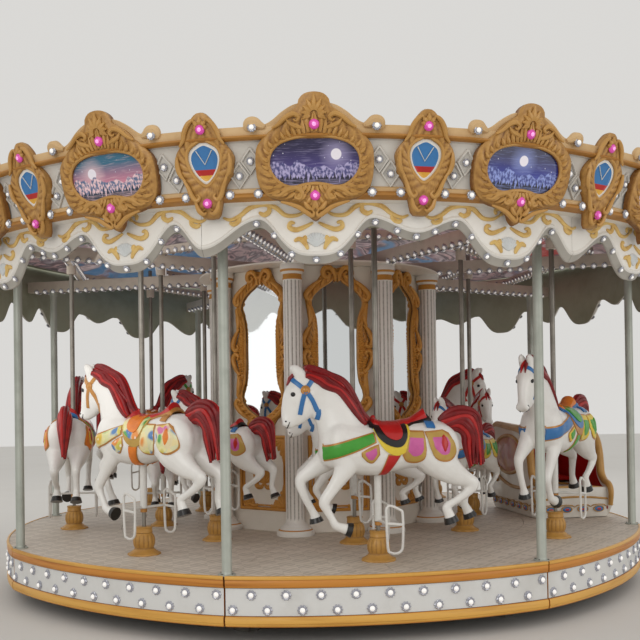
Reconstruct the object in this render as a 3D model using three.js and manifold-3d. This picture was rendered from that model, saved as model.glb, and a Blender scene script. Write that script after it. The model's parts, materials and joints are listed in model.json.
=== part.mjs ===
// A small fairground carousel: a low turning platform with a round canopy, a mirrored centre
// tower, fifteen horses that rise and fall on poles, and one chariot.
// Millimetres, +Z up, origin on the ground below the middle. Angles are counted in degrees,
// counter-clockwise seen from above, from the direction -Y.

import * as THREE from 'three';
import { mergeVertices } from 'three/addons/utils/BufferGeometryUtils.js';
import Module from 'manifold-3d';

const wasm = await Module();
wasm.setup();

const radians = (degrees) => THREE.MathUtils.degToRad(degrees);

// Driving dimensions
const PANELS = 8;
const PANEL_ANGLE = 360 / PANELS;
const HALF_PANEL = PANEL_ANGLE / 2;
const GAP = 0.3;

const DECK_TOP = 420;
const DECK_THICKNESS = 40;
const RIM_RADIUS = 2700;
const RIM_FLATNESS = 0.015;
const RIM_BOTTOM = 120;
const RIM_SKIN = 15;
const RIM_DEPTH = 60;
const RIM_STEPS = 6;
const RIM_LIP = 4;

const POST_RADIUS = 31.5;
const POST_SIDES = 8;
const POST_CIRCLE = 2640;
const POST_FOOT_RADIUS = 42;
const POST_FOOT_HEIGHT = 14;
const BEAM_BOTTOM = 2580;
const BEAM_HEIGHT = 100;
const BEAM_WIDTH = 60;
const RING_HALF_WIDTH = 30;
const RING_HEIGHT = 60;

const OUTER_CIRCLE = 2160;
const INNER_CIRCLE = 1404;
const CHARIOT_ANGLE = 90;
const INNER_SCALE = 0.79;

const TOWER_WALL = 822;
const TOWER_WALL_THICKNESS = 50;
const FRAME_PROUD = 22;
const FRAME_SUNK = 10;
const MIRROR_FRAME = [[-270, 1343], [270, 1343], [270, 2330], [90, 2546], [-90, 2546], [-270, 2330]];
const LOWER_FRAME = { half: 254, bottom: 575, top: 1216 };
const COLUMN_CIRCLE = 967;
const COLUMN_APOTHEM = COLUMN_CIRCLE * Math.cos(radians(HALF_PANEL));
const COLUMN_RADIUS = 75;
const COLUMN_SIDES = 10;
const PLINTH_RADIUS = 150;
const PLINTH_TOP = DECK_TOP + 90;
const CAPITAL_RADIUS = 98;
const CAPITAL_HEIGHT = 90;
const CURB_HEIGHT = 12;
const MAST_RADIUS = 80;
const MAST_SIDES = 16;

const CROWN_TURN = 1.25;
const VALANCE_RADIUS = 2950;
const VALANCE_THICKNESS = 50;
const BEVEL_DEPTH = 35;
const BEVEL_HEIGHT = 43;
const LOBE_BOTTOM = 2242;
const MIDDLE_LOBE_BOTTOM = 2375;
const SEAM_LOBE_BOTTOM = 2300;
const ARCH_TOP = 2455;
const LOBE_CENTRE = 11.25;
const ARCH_ANGLE = 5;
const LOBE_HALF = LOBE_CENTRE - ARCH_ANGLE;
const LOBE_FULLNESS = 1.6;
const SEAM_SHIFT = 1.6;
const SEAM_LEFT = HALF_PANEL + SEAM_SHIFT;
const SEAM_RIGHT = HALF_PANEL - SEAM_SHIFT;
const SEAM_PLAY = 0.004;
const CORNICE_BOTTOM = 2592;
const CORNICE_TOP = 2640;
const FRIEZE_TOP = 2898;
const CROWN_TOP = 2935;
const CORNICE_RADIUS = 3070;
const FRIEZE_RADIUS = 3130;
const CROWN_RADIUS = 3190;
const CROWN_BACK = 25;
const MEDALLION_RADIUS = 3040;
const MEDALLION_LEAN = 0.3;
const MEDALLION_PROUD = 60;
const MEDALLION_SUNK = 8;
const OVAL_HALF = [
  [0, 2469], [169, 2548], [268, 2590], [318, 2700], [306, 2854], [207, 2950], [115, 3041], [44, 3097],
];
const SHIELD_HALF = [
  [0, 2497], [62, 2512], [92, 2590], [140, 2700], [160, 2850], [95, 2922], [62, 3010], [0, 3043],
];

const ROOF_EAVE_RADIUS = 3055;
const ROOF_HOLE = 30;
const ROOF_SIDES = 24;
const ROOF_EAVE = 2890;
const ROOF_PEAK = 3560;
const ROOF_THICKNESS = 25;

const BASE_ARM_REACH = 2350;
const BASE_ARM = { half: 40, start: 200, bottom: 20, top: 95 };
const BASE_RING = { half: 30, bottom: 28, top: 87 };
const BASE_HUB = { margin: 60, bottom: 30, top: 90, sides: 16 };
const FOOT_CIRCLE = 2250;
const FOOT_RADIUS = 90;
const FOOT_HEIGHT = 22;
const FOOT_SIDES = 8;
const HUB_RADIUS = 300;
const PEDESTAL_RADIUS = 270;
const PEDESTAL_TOP = 262;
const SPINDLE_RADIUS = 60;
const SPINDLE_HEIGHT = 80;
const SPINDLE_PLAY = 2;
const DECK_ARM = { half: 40, depth: 95, start: 250 };
const ROUND_SIDES = 24;
const THROUGH = 1000;

const POLE_RADIUS = 19;
const ROD_RADIUS = 14;
const BORE_CLEARANCE = 0.9;
const POLE_SIDES = 8;
const ROD_FOOT = 145;
const POT_HEIGHT = 195;
const POT_RADIUS = 66;
const POT_FOOT_RADIUS = 120;
const POT_FOOT_EDGE = 25;
const POT_FOOT_TOP = 45;
const POT_SUNK = 5;
const POT_SIDES = 8;
const GUIDE_BOTTOM = 2600;
const GUIDE_TOP = 2765;
const GUIDE_RADIUS = 40;
const POLE_RISE = 15;
const BELLY = 560;
const BRACKET_RADIUS = 24;
const BRACKET_SIDES = 6;
const BRACKET_FOOT = 255;
const BRACKET_JOIN = 40;
const ROD_JOIN = 20;
const FOOTREST = { top: 430, drop: 90, low: 75, out: 190, half: 60, root: 13, radius: 9, sides: 4 };

const CHARIOT_SIDE = 330;
const CHARIOT_SKIN = 40;

const COLOURS = {
  steel: 0xa6a39c,
  aluminium: 0x8f887e,
  cream: 0xd8d2c6,
  white: 0xe4e1da,
  gold: 0xb98a45,
  canvas: 0x8a7c86,
};

const carousel = new THREE.Group();
carousel.name = 'carousel';

// Helpers

/** A point at a radius and angle, in plan. */
function polar(radius, degrees) {
  const turn = radians(degrees);
  return new THREE.Vector2(radius * Math.sin(turn), -radius * Math.cos(turn));
}

/** The material of one finish. */
function finish(colour, roughness = 0.6, metalness = 0) {
  return new THREE.MeshStandardMaterial({ color: COLOURS[colour], roughness, metalness });
}

/** Adds a named piece to the carousel. */
function place(name, geometry, material) {
  const mesh = new THREE.Mesh(geometry, material);
  mesh.name = name;
  carousel.add(mesh);
  return mesh;
}

/** Turns a closed geometry into a solid that can be joined and cut. */
function solid(geometry) {
  const bare = geometry.clone();
  bare.deleteAttribute('normal');
  bare.deleteAttribute('uv');
  const merged = mergeVertices(bare, 1e-4);
  return new wasm.Manifold(new wasm.Mesh({
    numProp: 3,
    vertProperties: new Float32Array(merged.attributes.position.array),
    triVerts: new Uint32Array(merged.index.array),
  }));
}

/** Turns a solid back into a geometry. */
function shell(body) {
  const mesh = body.getMesh();
  const geometry = new THREE.BufferGeometry();
  geometry.setAttribute('position', new THREE.BufferAttribute(mesh.vertProperties, 3));
  geometry.setIndex(new THREE.BufferAttribute(mesh.triVerts, 1));
  geometry.computeVertexNormals();
  return geometry;
}

/** Joins several closed geometries, after which others are cut away. */
function joined(parts, cuts = []) {
  let body = solid(parts[0]);
  for (const part of parts.slice(1)) {
    body = body.add(solid(part));
  }
  for (const cut of cuts) {
    body = body.subtract(solid(cut));
  }
  return shell(body);
}

/** An upright cylinder between two heights. */
function cylinder(radius, bottom, top, sides, x = 0, y = 0, topRadius = radius) {
  const geometry = new THREE.CylinderGeometry(topRadius, radius, top - bottom, sides);
  geometry.rotateX(Math.PI / 2);
  geometry.translate(x, y, (bottom + top) / 2);
  return geometry;
}

/** A box given by its lowest and highest corners. */
function box(low, high) {
  const geometry = new THREE.BoxGeometry(high[0] - low[0], high[1] - low[1], high[2] - low[2]);
  geometry.translate((low[0] + high[0]) / 2, (low[1] + high[1]) / 2, (low[2] + high[2]) / 2);
  return geometry;
}

/** Turns a geometry that was made in the direction -Y to another angle. */
function turned(geometry, degrees) {
  return geometry.rotateZ(radians(degrees));
}

/** A solid of revolution from a closed outline of radius and height pairs. */
function revolved(outline, sides) {
  const points = outline.map(([radius, height]) => new THREE.Vector2(radius, height));
  points.push(points[0].clone());
  const geometry = new THREE.LatheGeometry(points, sides);
  geometry.rotateX(Math.PI / 2);
  return geometry;
}

/** Six times the volume that a triangle list encloses: negative when it is inside out. */
function enclosed(points, index) {
  let sum = 0;
  for (let face = 0; face < index.length; face += 3) {
    const [a, b, c] = [points[index[face]], points[index[face + 1]], points[index[face + 2]]];
    sum += a.dot(b.clone().cross(c));
  }
  return sum;
}

/** Level eight-sided ring between two distances to its flat sides, sides facing the panels. */
function octagonRing(inside, outside, bottom, top) {
  const corner = 1 / Math.cos(radians(HALF_PANEL));
  return turned(revolved([
    [inside * corner, bottom], [outside * corner, bottom], [outside * corner, top], [inside * corner, top],
  ], PANELS), HALF_PANEL);
}

/** Triangles that fill one flat ring, in the ring's own direction of turn. */
function capFaces(ring) {
  const normal = new THREE.Vector3();
  ring.forEach((point, index) => {
    normal.add(point.clone().cross(ring[(index + 1) % ring.length]));
  });
  normal.normalize();
  const across = ring[1].clone().sub(ring[0]).normalize();
  const up = normal.clone().cross(across);
  const contour = ring.map((point) => new THREE.Vector2(point.dot(across), point.dot(up)));
  return THREE.ShapeUtils.triangulateShape(contour, []);
}

/** Joins closed rings of equal length into one closed skin with flat ends. */
function lofted(rings) {
  const sides = rings[0].length;
  const points = rings.flat();
  const index = [];
  for (let level = 0; level < rings.length - 1; level += 1) {
    for (let side = 0; side < sides; side += 1) {
      const next = (side + 1) % sides;
      const a = level * sides + side;
      const b = level * sides + next;
      index.push(a, b, b + sides, a, b + sides, a + sides);
    }
  }
  for (const [a, b, c] of capFaces(rings[0])) {
    index.push(a, c, b);
  }
  const last = (rings.length - 1) * sides;
  for (const [a, b, c] of capFaces(rings[rings.length - 1])) {
    index.push(last + a, last + b, last + c);
  }
  if (enclosed(points, index) < 0) {
    index.reverse();
  }
  return new THREE.BufferGeometry().setFromPoints(points).setIndex(index);
}

/** A ring of points for a level section: heights against radius, bent round the centre. */
function sectionAt(outline, degrees) {
  return outline.map(([radius, height]) => {
    const spot = polar(radius, degrees);
    return new THREE.Vector3(spot.x, spot.y, height);
  });
}

/** A tube of few sides along a chain of points. */
function rod(points, radius, sides) {
  const rings = points.map((point, index) => {
    const before = points[Math.max(index - 1, 0)];
    const after = points[Math.min(index + 1, points.length - 1)];
    const along = after.clone().sub(before).normalize();
    const across = new THREE.Vector3(0, 1, 0).cross(along).normalize();
    const side = along.clone().cross(across);
    return Array.from({ length: sides }, (_, corner) => {
      const turn = (2 * Math.PI * (corner + 0.5)) / sides;
      return point.clone()
        .addScaledVector(across, radius * Math.cos(turn))
        .addScaledVector(side, radius * Math.sin(turn));
    });
  });
  return lofted(rings);
}

// Base on the ground

/** Eight radial arms with levelling feet and a ring, which stay still. */
function baseFrame() {
  const { half, start, bottom, top } = BASE_ARM;
  const hub = PEDESTAL_RADIUS + BASE_HUB.margin;
  const depth = FOOT_CIRCLE * Math.cos(radians(HALF_PANEL));
  const parts = [
    cylinder(hub, BASE_HUB.bottom, BASE_HUB.top, BASE_HUB.sides),
    octagonRing(depth - BASE_RING.half, depth + BASE_RING.half, BASE_RING.bottom, BASE_RING.top),
  ];
  for (let arm = 0; arm < PANELS; arm += 1) {
    const angle = HALF_PANEL + arm * PANEL_ANGLE;
    const foot = polar(FOOT_CIRCLE, angle);
    parts.push(turned(box([-half, -BASE_ARM_REACH, bottom], [half, -start, top]), angle));
    parts.push(cylinder(FOOT_RADIUS, 0, FOOT_HEIGHT, FOOT_SIDES, foot.x, foot.y));
  }
  return joined(parts, [cylinder(PEDESTAL_RADIUS + GAP, -THROUGH, THROUGH, ROUND_SIDES)]);
}

/** The round pedestal with the spindle that the platform turns on. */
function pedestal() {
  return joined([
    cylinder(PEDESTAL_RADIUS, 0, PEDESTAL_TOP, ROUND_SIDES),
    cylinder(SPINDLE_RADIUS, PEDESTAL_TOP - GAP, PEDESTAL_TOP + SPINDLE_HEIGHT, ROUND_SIDES),
  ]);
}

// Platform

/** Hub with a bearing bore and the arms that carry the deck. */
function deckFrame() {
  const bottom = PEDESTAL_TOP + GAP;
  const top = DECK_TOP - DECK_THICKNESS - GAP;
  const end = RIM_RADIUS - RIM_DEPTH - 10;
  const { half, depth, start } = DECK_ARM;
  const parts = [cylinder(HUB_RADIUS, bottom, top, ROUND_SIDES)];
  for (let arm = 0; arm < PANELS; arm += 1) {
    const angle = HALF_PANEL + arm * PANEL_ANGLE;
    parts.push(turned(box([-half, -end, top - depth], [half, -start, top]), angle));
  }
  const bore = SPINDLE_RADIUS + SPINDLE_PLAY;
  return joined(parts, [cylinder(bore, 0, PEDESTAL_TOP + SPINDLE_HEIGHT + SPINDLE_PLAY, ROUND_SIDES)]);
}

/** Radius of the rim: slightly flatter between the posts than a true circle. */
function rimRadius(fromMiddle) {
  return RIM_RADIUS * (1 - RIM_FLATNESS * Math.cos(radians(4 * fromMiddle)));
}

/** Foot flange and fluted vase that hides the crank rod of one horse. */
function pot(x, y) {
  const foot = DECK_TOP - POT_SUNK;
  const profile = [
    [0, foot], [POT_FOOT_RADIUS, foot], [POT_FOOT_RADIUS, DECK_TOP + POT_FOOT_EDGE],
    [POT_RADIUS, DECK_TOP + POT_FOOT_TOP], [POT_RADIUS, DECK_TOP + POT_HEIGHT], [0, DECK_TOP + POT_HEIGHT],
  ];
  return revolved(profile, POT_SIDES).translate(x, y, 0);
}

/** Places of all the horses: circle radius, angle, lift in the photographed state, and scale. */
function horsePlaces() {
  const outerLift = { 0: 0, 45: 78, 135: 120, 180: 160, 225: 100, 270: 40, 315: 65 };
  const innerLift = [97, 60, 140, 30, 180, 110, 20, 150];
  const places = [];
  for (let panel = 0; panel < PANELS; panel += 1) {
    const angle = panel * PANEL_ANGLE;
    if (angle !== CHARIOT_ANGLE) {
      places.push({ ring: 'outer', circle: OUTER_CIRCLE, angle, lift: outerLift[angle], scale: 1 });
    }
  }
  for (let panel = 0; panel < PANELS; panel += 1) {
    const angle = panel * PANEL_ANGLE;
    const lift = innerLift[panel];
    places.push({ ring: 'inner', circle: INNER_CIRCLE, angle, lift, scale: INNER_SCALE });
  }
  return places;
}

/** Deck plate that follows the rim, with a pot at every pole. */
function deck() {
  const steps = RIM_STEPS;
  const outline = new THREE.Shape();
  for (let index = 0; index < PANELS * steps; index += 1) {
    const fromMiddle = ((index % steps) - steps / 2) * (PANEL_ANGLE / steps);
    const angle = Math.floor(index / steps) * PANEL_ANGLE + fromMiddle;
    const spot = polar(rimRadius(fromMiddle) - RIM_SKIN - GAP, angle);
    if (index === 0) {
      outline.moveTo(spot.x, spot.y);
    } else {
      outline.lineTo(spot.x, spot.y);
    }
  }
  outline.closePath();
  const plate = new THREE.ExtrudeGeometry(outline, { depth: DECK_THICKNESS, bevelEnabled: false });
  plate.translate(0, 0, DECK_TOP - DECK_THICKNESS);
  const parts = [plate];
  const cuts = [cylinder(MAST_RADIUS + GAP, 0, THROUGH, MAST_SIDES)];
  for (const { circle, angle } of horsePlaces()) {
    const spot = polar(circle, angle);
    parts.push(pot(spot.x, spot.y));
    cuts.push(cylinder(ROD_RADIUS + BORE_CLEARANCE, 0, THROUGH, POLE_SIDES, spot.x, spot.y));
  }
  return joined(parts, cuts);
}

/** One curved length of the deep rim below the deck edge. */
function rimSegment() {
  const steps = RIM_STEPS;
  const end = HALF_PANEL - SEAM_PLAY;
  const top = DECK_TOP + RIM_LIP;
  const under = DECK_TOP - DECK_THICKNESS - GAP;
  const rings = [];
  for (let step = 0; step <= steps; step += 1) {
    const angle = -end + (2 * end * step) / steps;
    const radius = rimRadius(angle);
    rings.push(sectionAt([
      [radius, RIM_BOTTOM], [radius, top], [radius - RIM_SKIN, top],
      [radius - RIM_SKIN, under], [radius - RIM_DEPTH, under], [radius - RIM_DEPTH, RIM_BOTTOM],
    ], angle));
  }
  return lofted(rings);
}

/** Steel tube with a small foot, from the deck edge to the radial beam. */
function post(angle) {
  const spot = polar(POST_CIRCLE, angle);
  const bottom = DECK_TOP + GAP;
  return joined([
    cylinder(POST_RADIUS, bottom, BEAM_BOTTOM - GAP, POST_SIDES, spot.x, spot.y),
    cylinder(POST_FOOT_RADIUS, bottom, bottom + POST_FOOT_HEIGHT, POST_SIDES, spot.x, spot.y),
  ]);
}

/** Radial beam from the mast over a column and a post out to the canopy. */
function radialBeam() {
  const start = MAST_RADIUS + 2 * GAP;
  const inside = (VALANCE_RADIUS - VALANCE_THICKNESS) * Math.cos(radians(SEAM_SHIFT / 2));
  const end = inside - 2 * GAP;
  const half = BEAM_WIDTH / 2;
  return box([-half, -end, BEAM_BOTTOM], [half, -start, BEAM_BOTTOM + BEAM_HEIGHT]);
}

/** Eight-sided ring of beams on top of the radial beams, with a guide tube at every pole. */
function ringBeam(circle) {
  const bottom = BEAM_BOTTOM + BEAM_HEIGHT + GAP;
  const inside = circle - RING_HALF_WIDTH;
  const parts = [octagonRing(inside, circle + RING_HALF_WIDTH, bottom, bottom + RING_HEIGHT)];
  const cuts = [];
  for (const horse of horsePlaces().filter((place) => place.circle === circle)) {
    const spot = polar(circle, horse.angle);
    parts.push(cylinder(GUIDE_RADIUS, GUIDE_BOTTOM, GUIDE_TOP, POLE_SIDES, spot.x, spot.y));
    const bore = POLE_RADIUS + BORE_CLEARANCE;
    cuts.push(cylinder(bore, GUIDE_BOTTOM - GAP, GUIDE_TOP + GAP, POLE_SIDES, spot.x, spot.y));
  }
  return joined(parts, cuts);
}

// Centre tower

/** Eight-sided wall of the tower with raised mirror frames and lower panels. */
function towerWalls() {
  const bottom = DECK_TOP + GAP;
  const top = BEAM_BOTTOM - CURB_HEIGHT - 2 * GAP;
  const parts = [octagonRing(TOWER_WALL - TOWER_WALL_THICKNESS, TOWER_WALL, bottom, top)];
  const outline = new THREE.Shape(MIRROR_FRAME.map(([x, z]) => new THREE.Vector2(x, z)));
  const face = TOWER_WALL + FRAME_PROUD;
  const inside = TOWER_WALL - FRAME_SUNK;
  const lower = LOWER_FRAME;
  for (let panel = 0; panel < PANELS; panel += 1) {
    const angle = panel * PANEL_ANGLE;
    const frame = new THREE.ExtrudeGeometry(outline, { depth: face - inside, bevelEnabled: false });
    frame.rotateX(Math.PI / 2);
    frame.translate(0, -inside, 0);
    parts.push(turned(frame, angle));
    parts.push(turned(box([-lower.half, -face, lower.bottom], [lower.half, -inside, lower.top]), angle));
  }
  const cuts = [];
  for (let panel = 0; panel < PANELS; panel += 1) {
    const { x, y } = polar(COLUMN_CIRCLE, HALF_PANEL + panel * PANEL_ANGLE);
    const capital = BEAM_BOTTOM - CAPITAL_HEIGHT - 2 * GAP;
    cuts.push(cylinder(PLINTH_RADIUS + GAP, 0, PLINTH_TOP + GAP, COLUMN_SIDES, x, y));
    cuts.push(cylinder(CAPITAL_RADIUS + GAP, capital, BEAM_BOTTOM, COLUMN_SIDES, x, y));
  }
  return joined(parts, cuts);
}

/** Eight round columns with plinths and capitals, tied by a flat curb on top of the walls. */
function towerColumns() {
  const bottom = DECK_TOP + GAP;
  const top = BEAM_BOTTOM - GAP;
  const parts = [octagonRing(TOWER_WALL - TOWER_WALL_THICKNESS, COLUMN_APOTHEM, top - CURB_HEIGHT, top)];
  for (let panel = 0; panel < PANELS; panel += 1) {
    const { x, y } = polar(COLUMN_CIRCLE, HALF_PANEL + panel * PANEL_ANGLE);
    parts.push(cylinder(COLUMN_RADIUS, bottom, top, COLUMN_SIDES, x, y));
    parts.push(cylinder(PLINTH_RADIUS, bottom, PLINTH_TOP, COLUMN_SIDES, x, y));
    parts.push(cylinder(CAPITAL_RADIUS, top - CAPITAL_HEIGHT, top, COLUMN_SIDES, x, y));
  }
  return joined(parts);
}

/** Mast in the middle that holds the peak of the roof. */
function mast() {
  return cylinder(MAST_RADIUS, DECK_TOP - DECK_THICKNESS, roofUnderside(MAST_RADIUS) - GAP, MAST_SIDES);
}

// Canopy

/** Height in one lobe of the lower edge, from 0 at its lowest point to 1 at the arch beside it. */
function lobe(lowest, share) {
  return lowest + ((ARCH_TOP - lowest) * (1 - Math.cos(Math.PI * share))) / 2;
}

/** Height of the scalloped lower edge at an angle counted from the middle shield. */
function scallop(angle) {
  const offset = Math.abs(angle);
  const toBig = Math.abs(offset - LOBE_CENTRE) / LOBE_HALF;
  if (toBig <= 1) {
    return lobe(LOBE_BOTTOM, toBig ** LOBE_FULLNESS);
  }
  if (offset < LOBE_CENTRE) {
    return lobe(MIDDLE_LOBE_BOTTOM, offset / ARCH_ANGLE);
  }
  const seam = angle < 0 ? SEAM_LEFT : SEAM_RIGHT;
  return lobe(SEAM_LOBE_BOTTOM, (seam - offset) / (seam - LOBE_CENTRE - LOBE_HALF));
}

/** Carved medallion that stands on the leaning front: its outline is half of a mirrored shape. */
function medallion(angle, half, play = 0) {
  const middle = (half[0][1] + half[half.length - 1][1]) / 2;
  const grow = 1 + play / SHIELD_HALF[3][0];
  const right = half.map(([x, z]) => new THREE.Vector2(x * grow, middle + (z - middle) * grow));
  const left = right.filter(({ x }) => x > 0).map(({ x, y }) => new THREE.Vector2(-x, y)).reverse();
  const depth = MEDALLION_PROUD + MEDALLION_SUNK + 2 * play;
  const outline = new THREE.Shape([...right, ...left]);
  const geometry = new THREE.ExtrudeGeometry(outline, { depth, bevelEnabled: false });
  const foot = MEDALLION_RADIUS - MEDALLION_LEAN * CORNICE_BOTTOM - MEDALLION_SUNK - play;
  geometry.applyMatrix4(new THREE.Matrix4().set(
    1, 0, 0, 0,
    0, -MEDALLION_LEAN, -1, -foot,
    0, 1, 0, 0,
    0, 0, 0, 1,
  ));
  return turned(geometry, angle);
}

/** One panel of the canopy, with two ovals and two shields: one shield covers the seam beside it. */
function crownPanel() {
  const back = VALANCE_RADIUS - VALANCE_THICKNESS;
  const lobeSteps = [-1, -0.6, 0, 0.6, 1];
  const lobeAngles = (centre) => lobeSteps.map((share) => centre + share * LOBE_HALF);
  const seamStep = (SEAM_RIGHT + LOBE_CENTRE + LOBE_HALF) / 2;
  const angles = [
    -SEAM_LEFT + SEAM_PLAY, -HALF_PANEL, -HALF_PANEL + SEAM_SHIFT, ...lobeAngles(-LOBE_CENTRE),
    -ARCH_ANGLE / 2, 0, ARCH_ANGLE / 2, ...lobeAngles(LOBE_CENTRE), seamStep, SEAM_RIGHT - SEAM_PLAY,
  ];
  const body = lofted(angles.map((angle) => sectionAt([
    [back, scallop(angle)], [VALANCE_RADIUS - BEVEL_DEPTH, scallop(angle)],
    [VALANCE_RADIUS, scallop(angle) + BEVEL_HEIGHT], [VALANCE_RADIUS, CORNICE_BOTTOM],
    [CORNICE_RADIUS, CORNICE_BOTTOM], [CORNICE_RADIUS, CORNICE_TOP], [FRIEZE_RADIUS, FRIEZE_TOP],
    [CROWN_RADIUS, FRIEZE_TOP], [CROWN_RADIUS, CROWN_TOP], [FRIEZE_RADIUS - CROWN_BACK, CROWN_TOP],
    [back, CORNICE_TOP],
  ], angle)));
  const parts = [
    body, medallion(-LOBE_CENTRE, OVAL_HALF), medallion(LOBE_CENTRE, OVAL_HALF),
    medallion(0, SHIELD_HALF), medallion(-HALF_PANEL, SHIELD_HALF),
  ];
  return joined(parts, [medallion(HALF_PANEL, SHIELD_HALF, 2 * GAP)]);
}

/** Height of the underside of the roof cover at a radius. */
function roofUnderside(radius) {
  const slope = (ROOF_PEAK - ROOF_EAVE) / (ROOF_EAVE_RADIUS - ROOF_HOLE);
  return ROOF_PEAK - ROOF_THICKNESS - (radius - ROOF_HOLE) * slope;
}

/** Low conical roof cover that rests on the mast. */
function roofCover() {
  return revolved([
    [ROOF_EAVE_RADIUS, ROOF_EAVE - ROOF_THICKNESS], [ROOF_EAVE_RADIUS, ROOF_EAVE],
    [ROOF_HOLE, ROOF_PEAK], [ROOF_HOLE, ROOF_PEAK - ROOF_THICKNESS],
  ], ROOF_SIDES);
}

// Horse

/** A limb of oval sections square to its path: points of forward, height, half width, half depth. */
function limb(path, sides, aside = 0) {
  const points = path.map(([u, v]) => new THREE.Vector2(u, v));
  return lofted(path.map(([u, v, halfWidth, halfDepth], index) => {
    const before = points[Math.max(index - 1, 0)];
    const after = points[Math.min(index + 1, points.length - 1)];
    const along = after.clone().sub(before).normalize();
    return Array.from({ length: sides }, (_, corner) => {
      const turn = (2 * Math.PI * (corner + 0.5)) / sides;
      const deep = halfDepth * Math.sin(turn);
      const across = aside + halfWidth * Math.cos(turn);
      return new THREE.Vector3(u - deep * along.y, across, v + deep * along.x);
    });
  }));
}

/** Galloping horse above the deck: forward is +X, left is +Y, heights count from the deck. */
function horseFigure() {
  const trunk = [
    [-525, 760, 60, 70], [-460, 765, 135, 145], [-200, 740, 165, 152], [80, 728, 165, 175],
    [270, 770, 140, 180], [390, 950, 72, 130], [490, 1120, 58, 98], [590, 985, 46, 62],
    [620, 890, 38, 42],
  ];
  const tail = [[-470, 870, 30, 30], [-620, 920, 36, 42], [-690, 760, 40, 46], [-715, 630, 12, 14]];
  const nearHind = [[-400, 700, 70, 120], [-590, 500, 38, 44], [-425, 345, 26, 30], [-465, 260, 32, 44]];
  const farHind = [[-400, 700, 70, 120], [-620, 500, 38, 44], [-600, 350, 26, 30], [-640, 280, 32, 44]];
  const nearFore = [[270, 720, 60, 90], [400, 405, 34, 40], [290, 225, 26, 28], [220, 190, 32, 42]];
  const farFore = [[270, 720, 60, 90], [530, 500, 34, 40], [455, 315, 26, 28], [400, 260, 32, 42]];
  const ear = (aside) => limb([[495, 1135, 22, 28], [552, 1269, 3, 3]], 3, aside);
  return [
    limb(trunk, 6), limb(tail, 4), limb(nearHind, 4, 85), limb(farHind, 4, -85),
    limb(nearFore, 4, 80), limb(farFore, 4, -80), ear(32), ear(-32),
  ];
}

/** One horse with its pole, crank rod, belly bracket and footrests, at its lifted place. */
function horse({ circle, angle, lift, scale }) {
  const parts = horseFigure().map((part) => part.scale(scale, scale, scale).translate(0, 0, DECK_TOP));
  const belly = DECK_TOP + BELLY * scale;
  const bracketFoot = DECK_TOP + BRACKET_FOOT;
  parts.push(cylinder(POLE_RADIUS, belly, GUIDE_TOP + POLE_RISE, POLE_SIDES));
  parts.push(cylinder(BRACKET_RADIUS, bracketFoot, belly + BRACKET_JOIN, BRACKET_SIDES));
  parts.push(cylinder(ROD_RADIUS, ROD_FOOT, bracketFoot + ROD_JOIN, POLE_SIDES));
  const { root, radius, sides } = FOOTREST;
  const restTop = DECK_TOP + FOOTREST.top * scale;
  const restLow = DECK_TOP + FOOTREST.low;
  const bend = restTop - FOOTREST.drop * scale;
  const half = FOOTREST.half * scale;
  for (const side of [-1, 1]) {
    const out = side * FOOTREST.out * scale;
    parts.push(rod([
      new THREE.Vector3(-root, 0, restTop), new THREE.Vector3(-half, out, bend),
      new THREE.Vector3(-half, out, restLow), new THREE.Vector3(half, out, restLow),
      new THREE.Vector3(half, out, bend), new THREE.Vector3(root, 0, restTop),
    ], radius, sides));
  }
  const spot = polar(circle, angle);
  const geometry = joined(parts);
  return geometry.rotateZ(radians(angle + 180)).translate(spot.x, spot.y, lift);
}

// Chariot

/** Side outline of the chariot: forward is +X, heights count from the deck. */
function chariotSide() {
  const outline = new THREE.Shape();
  outline.moveTo(-470, 0);
  outline.lineTo(470, 0);
  outline.bezierCurveTo(560, 60, 600, 140, 560, 260);
  outline.bezierCurveTo(520, 330, 420, 300, 330, 330);
  outline.bezierCurveTo(180, 380, 0, 420, -120, 520);
  outline.bezierCurveTo(-230, 640, -300, 800, -430, 820);
  outline.bezierCurveTo(-560, 800, -590, 640, -560, 420);
  outline.bezierCurveTo(-545, 250, -560, 100, -470, 0);
  return outline;
}

/** Boat-shaped chariot with a seat and a high back, open above. */
function chariot() {
  const options = { depth: CHARIOT_SKIN, bevelEnabled: false, curveSegments: 6 };
  const side = (y) => {
    const panel = new THREE.ExtrudeGeometry(chariotSide(), options);
    panel.rotateX(Math.PI / 2);
    return panel.translate(0, y + CHARIOT_SKIN / 2, 0);
  };
  const across = ([back, bottom], [front, top]) => box(
    [back, -CHARIOT_SIDE, bottom],
    [front, CHARIOT_SIDE, top],
  );
  const floor = across([-480, 0], [500, 40]);
  const seatBack = across([-540, 60], [-500, 760]);
  const seat = across([-520, 5], [-150, 330]);
  const prow = across([480, 5], [540, 270]);
  const geometry = joined([side(CHARIOT_SIDE), side(-CHARIOT_SIDE), floor, seatBack, seat, prow]);
  const spot = polar(OUTER_CIRCLE, CHARIOT_ANGLE);
  geometry.translate(0, 0, DECK_TOP + GAP);
  return geometry.rotateZ(radians(CHARIOT_ANGLE + 180)).translate(spot.x, spot.y, 0);
}

// The whole carousel

place('base_frame', baseFrame(), finish('steel', 0.6, 0.6));
place('pedestal', pedestal(), finish('steel', 0.6, 0.6));
place('deck_frame', deckFrame(), finish('steel', 0.6, 0.6));
place('deck', deck(), finish('aluminium', 0.5, 0.7));
place('outer_ring_beam', ringBeam(OUTER_CIRCLE), finish('steel', 0.6, 0.5));
place('inner_ring_beam', ringBeam(INNER_CIRCLE), finish('steel', 0.6, 0.5));
place('mast', mast(), finish('steel', 0.6, 0.6));
place('tower_walls', towerWalls(), finish('cream'));
place('tower_columns', towerColumns(), finish('cream'));
place('roof_cover', roofCover(), finish('canvas', 0.8));
place('chariot', chariot(), finish('white', 0.4));

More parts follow.
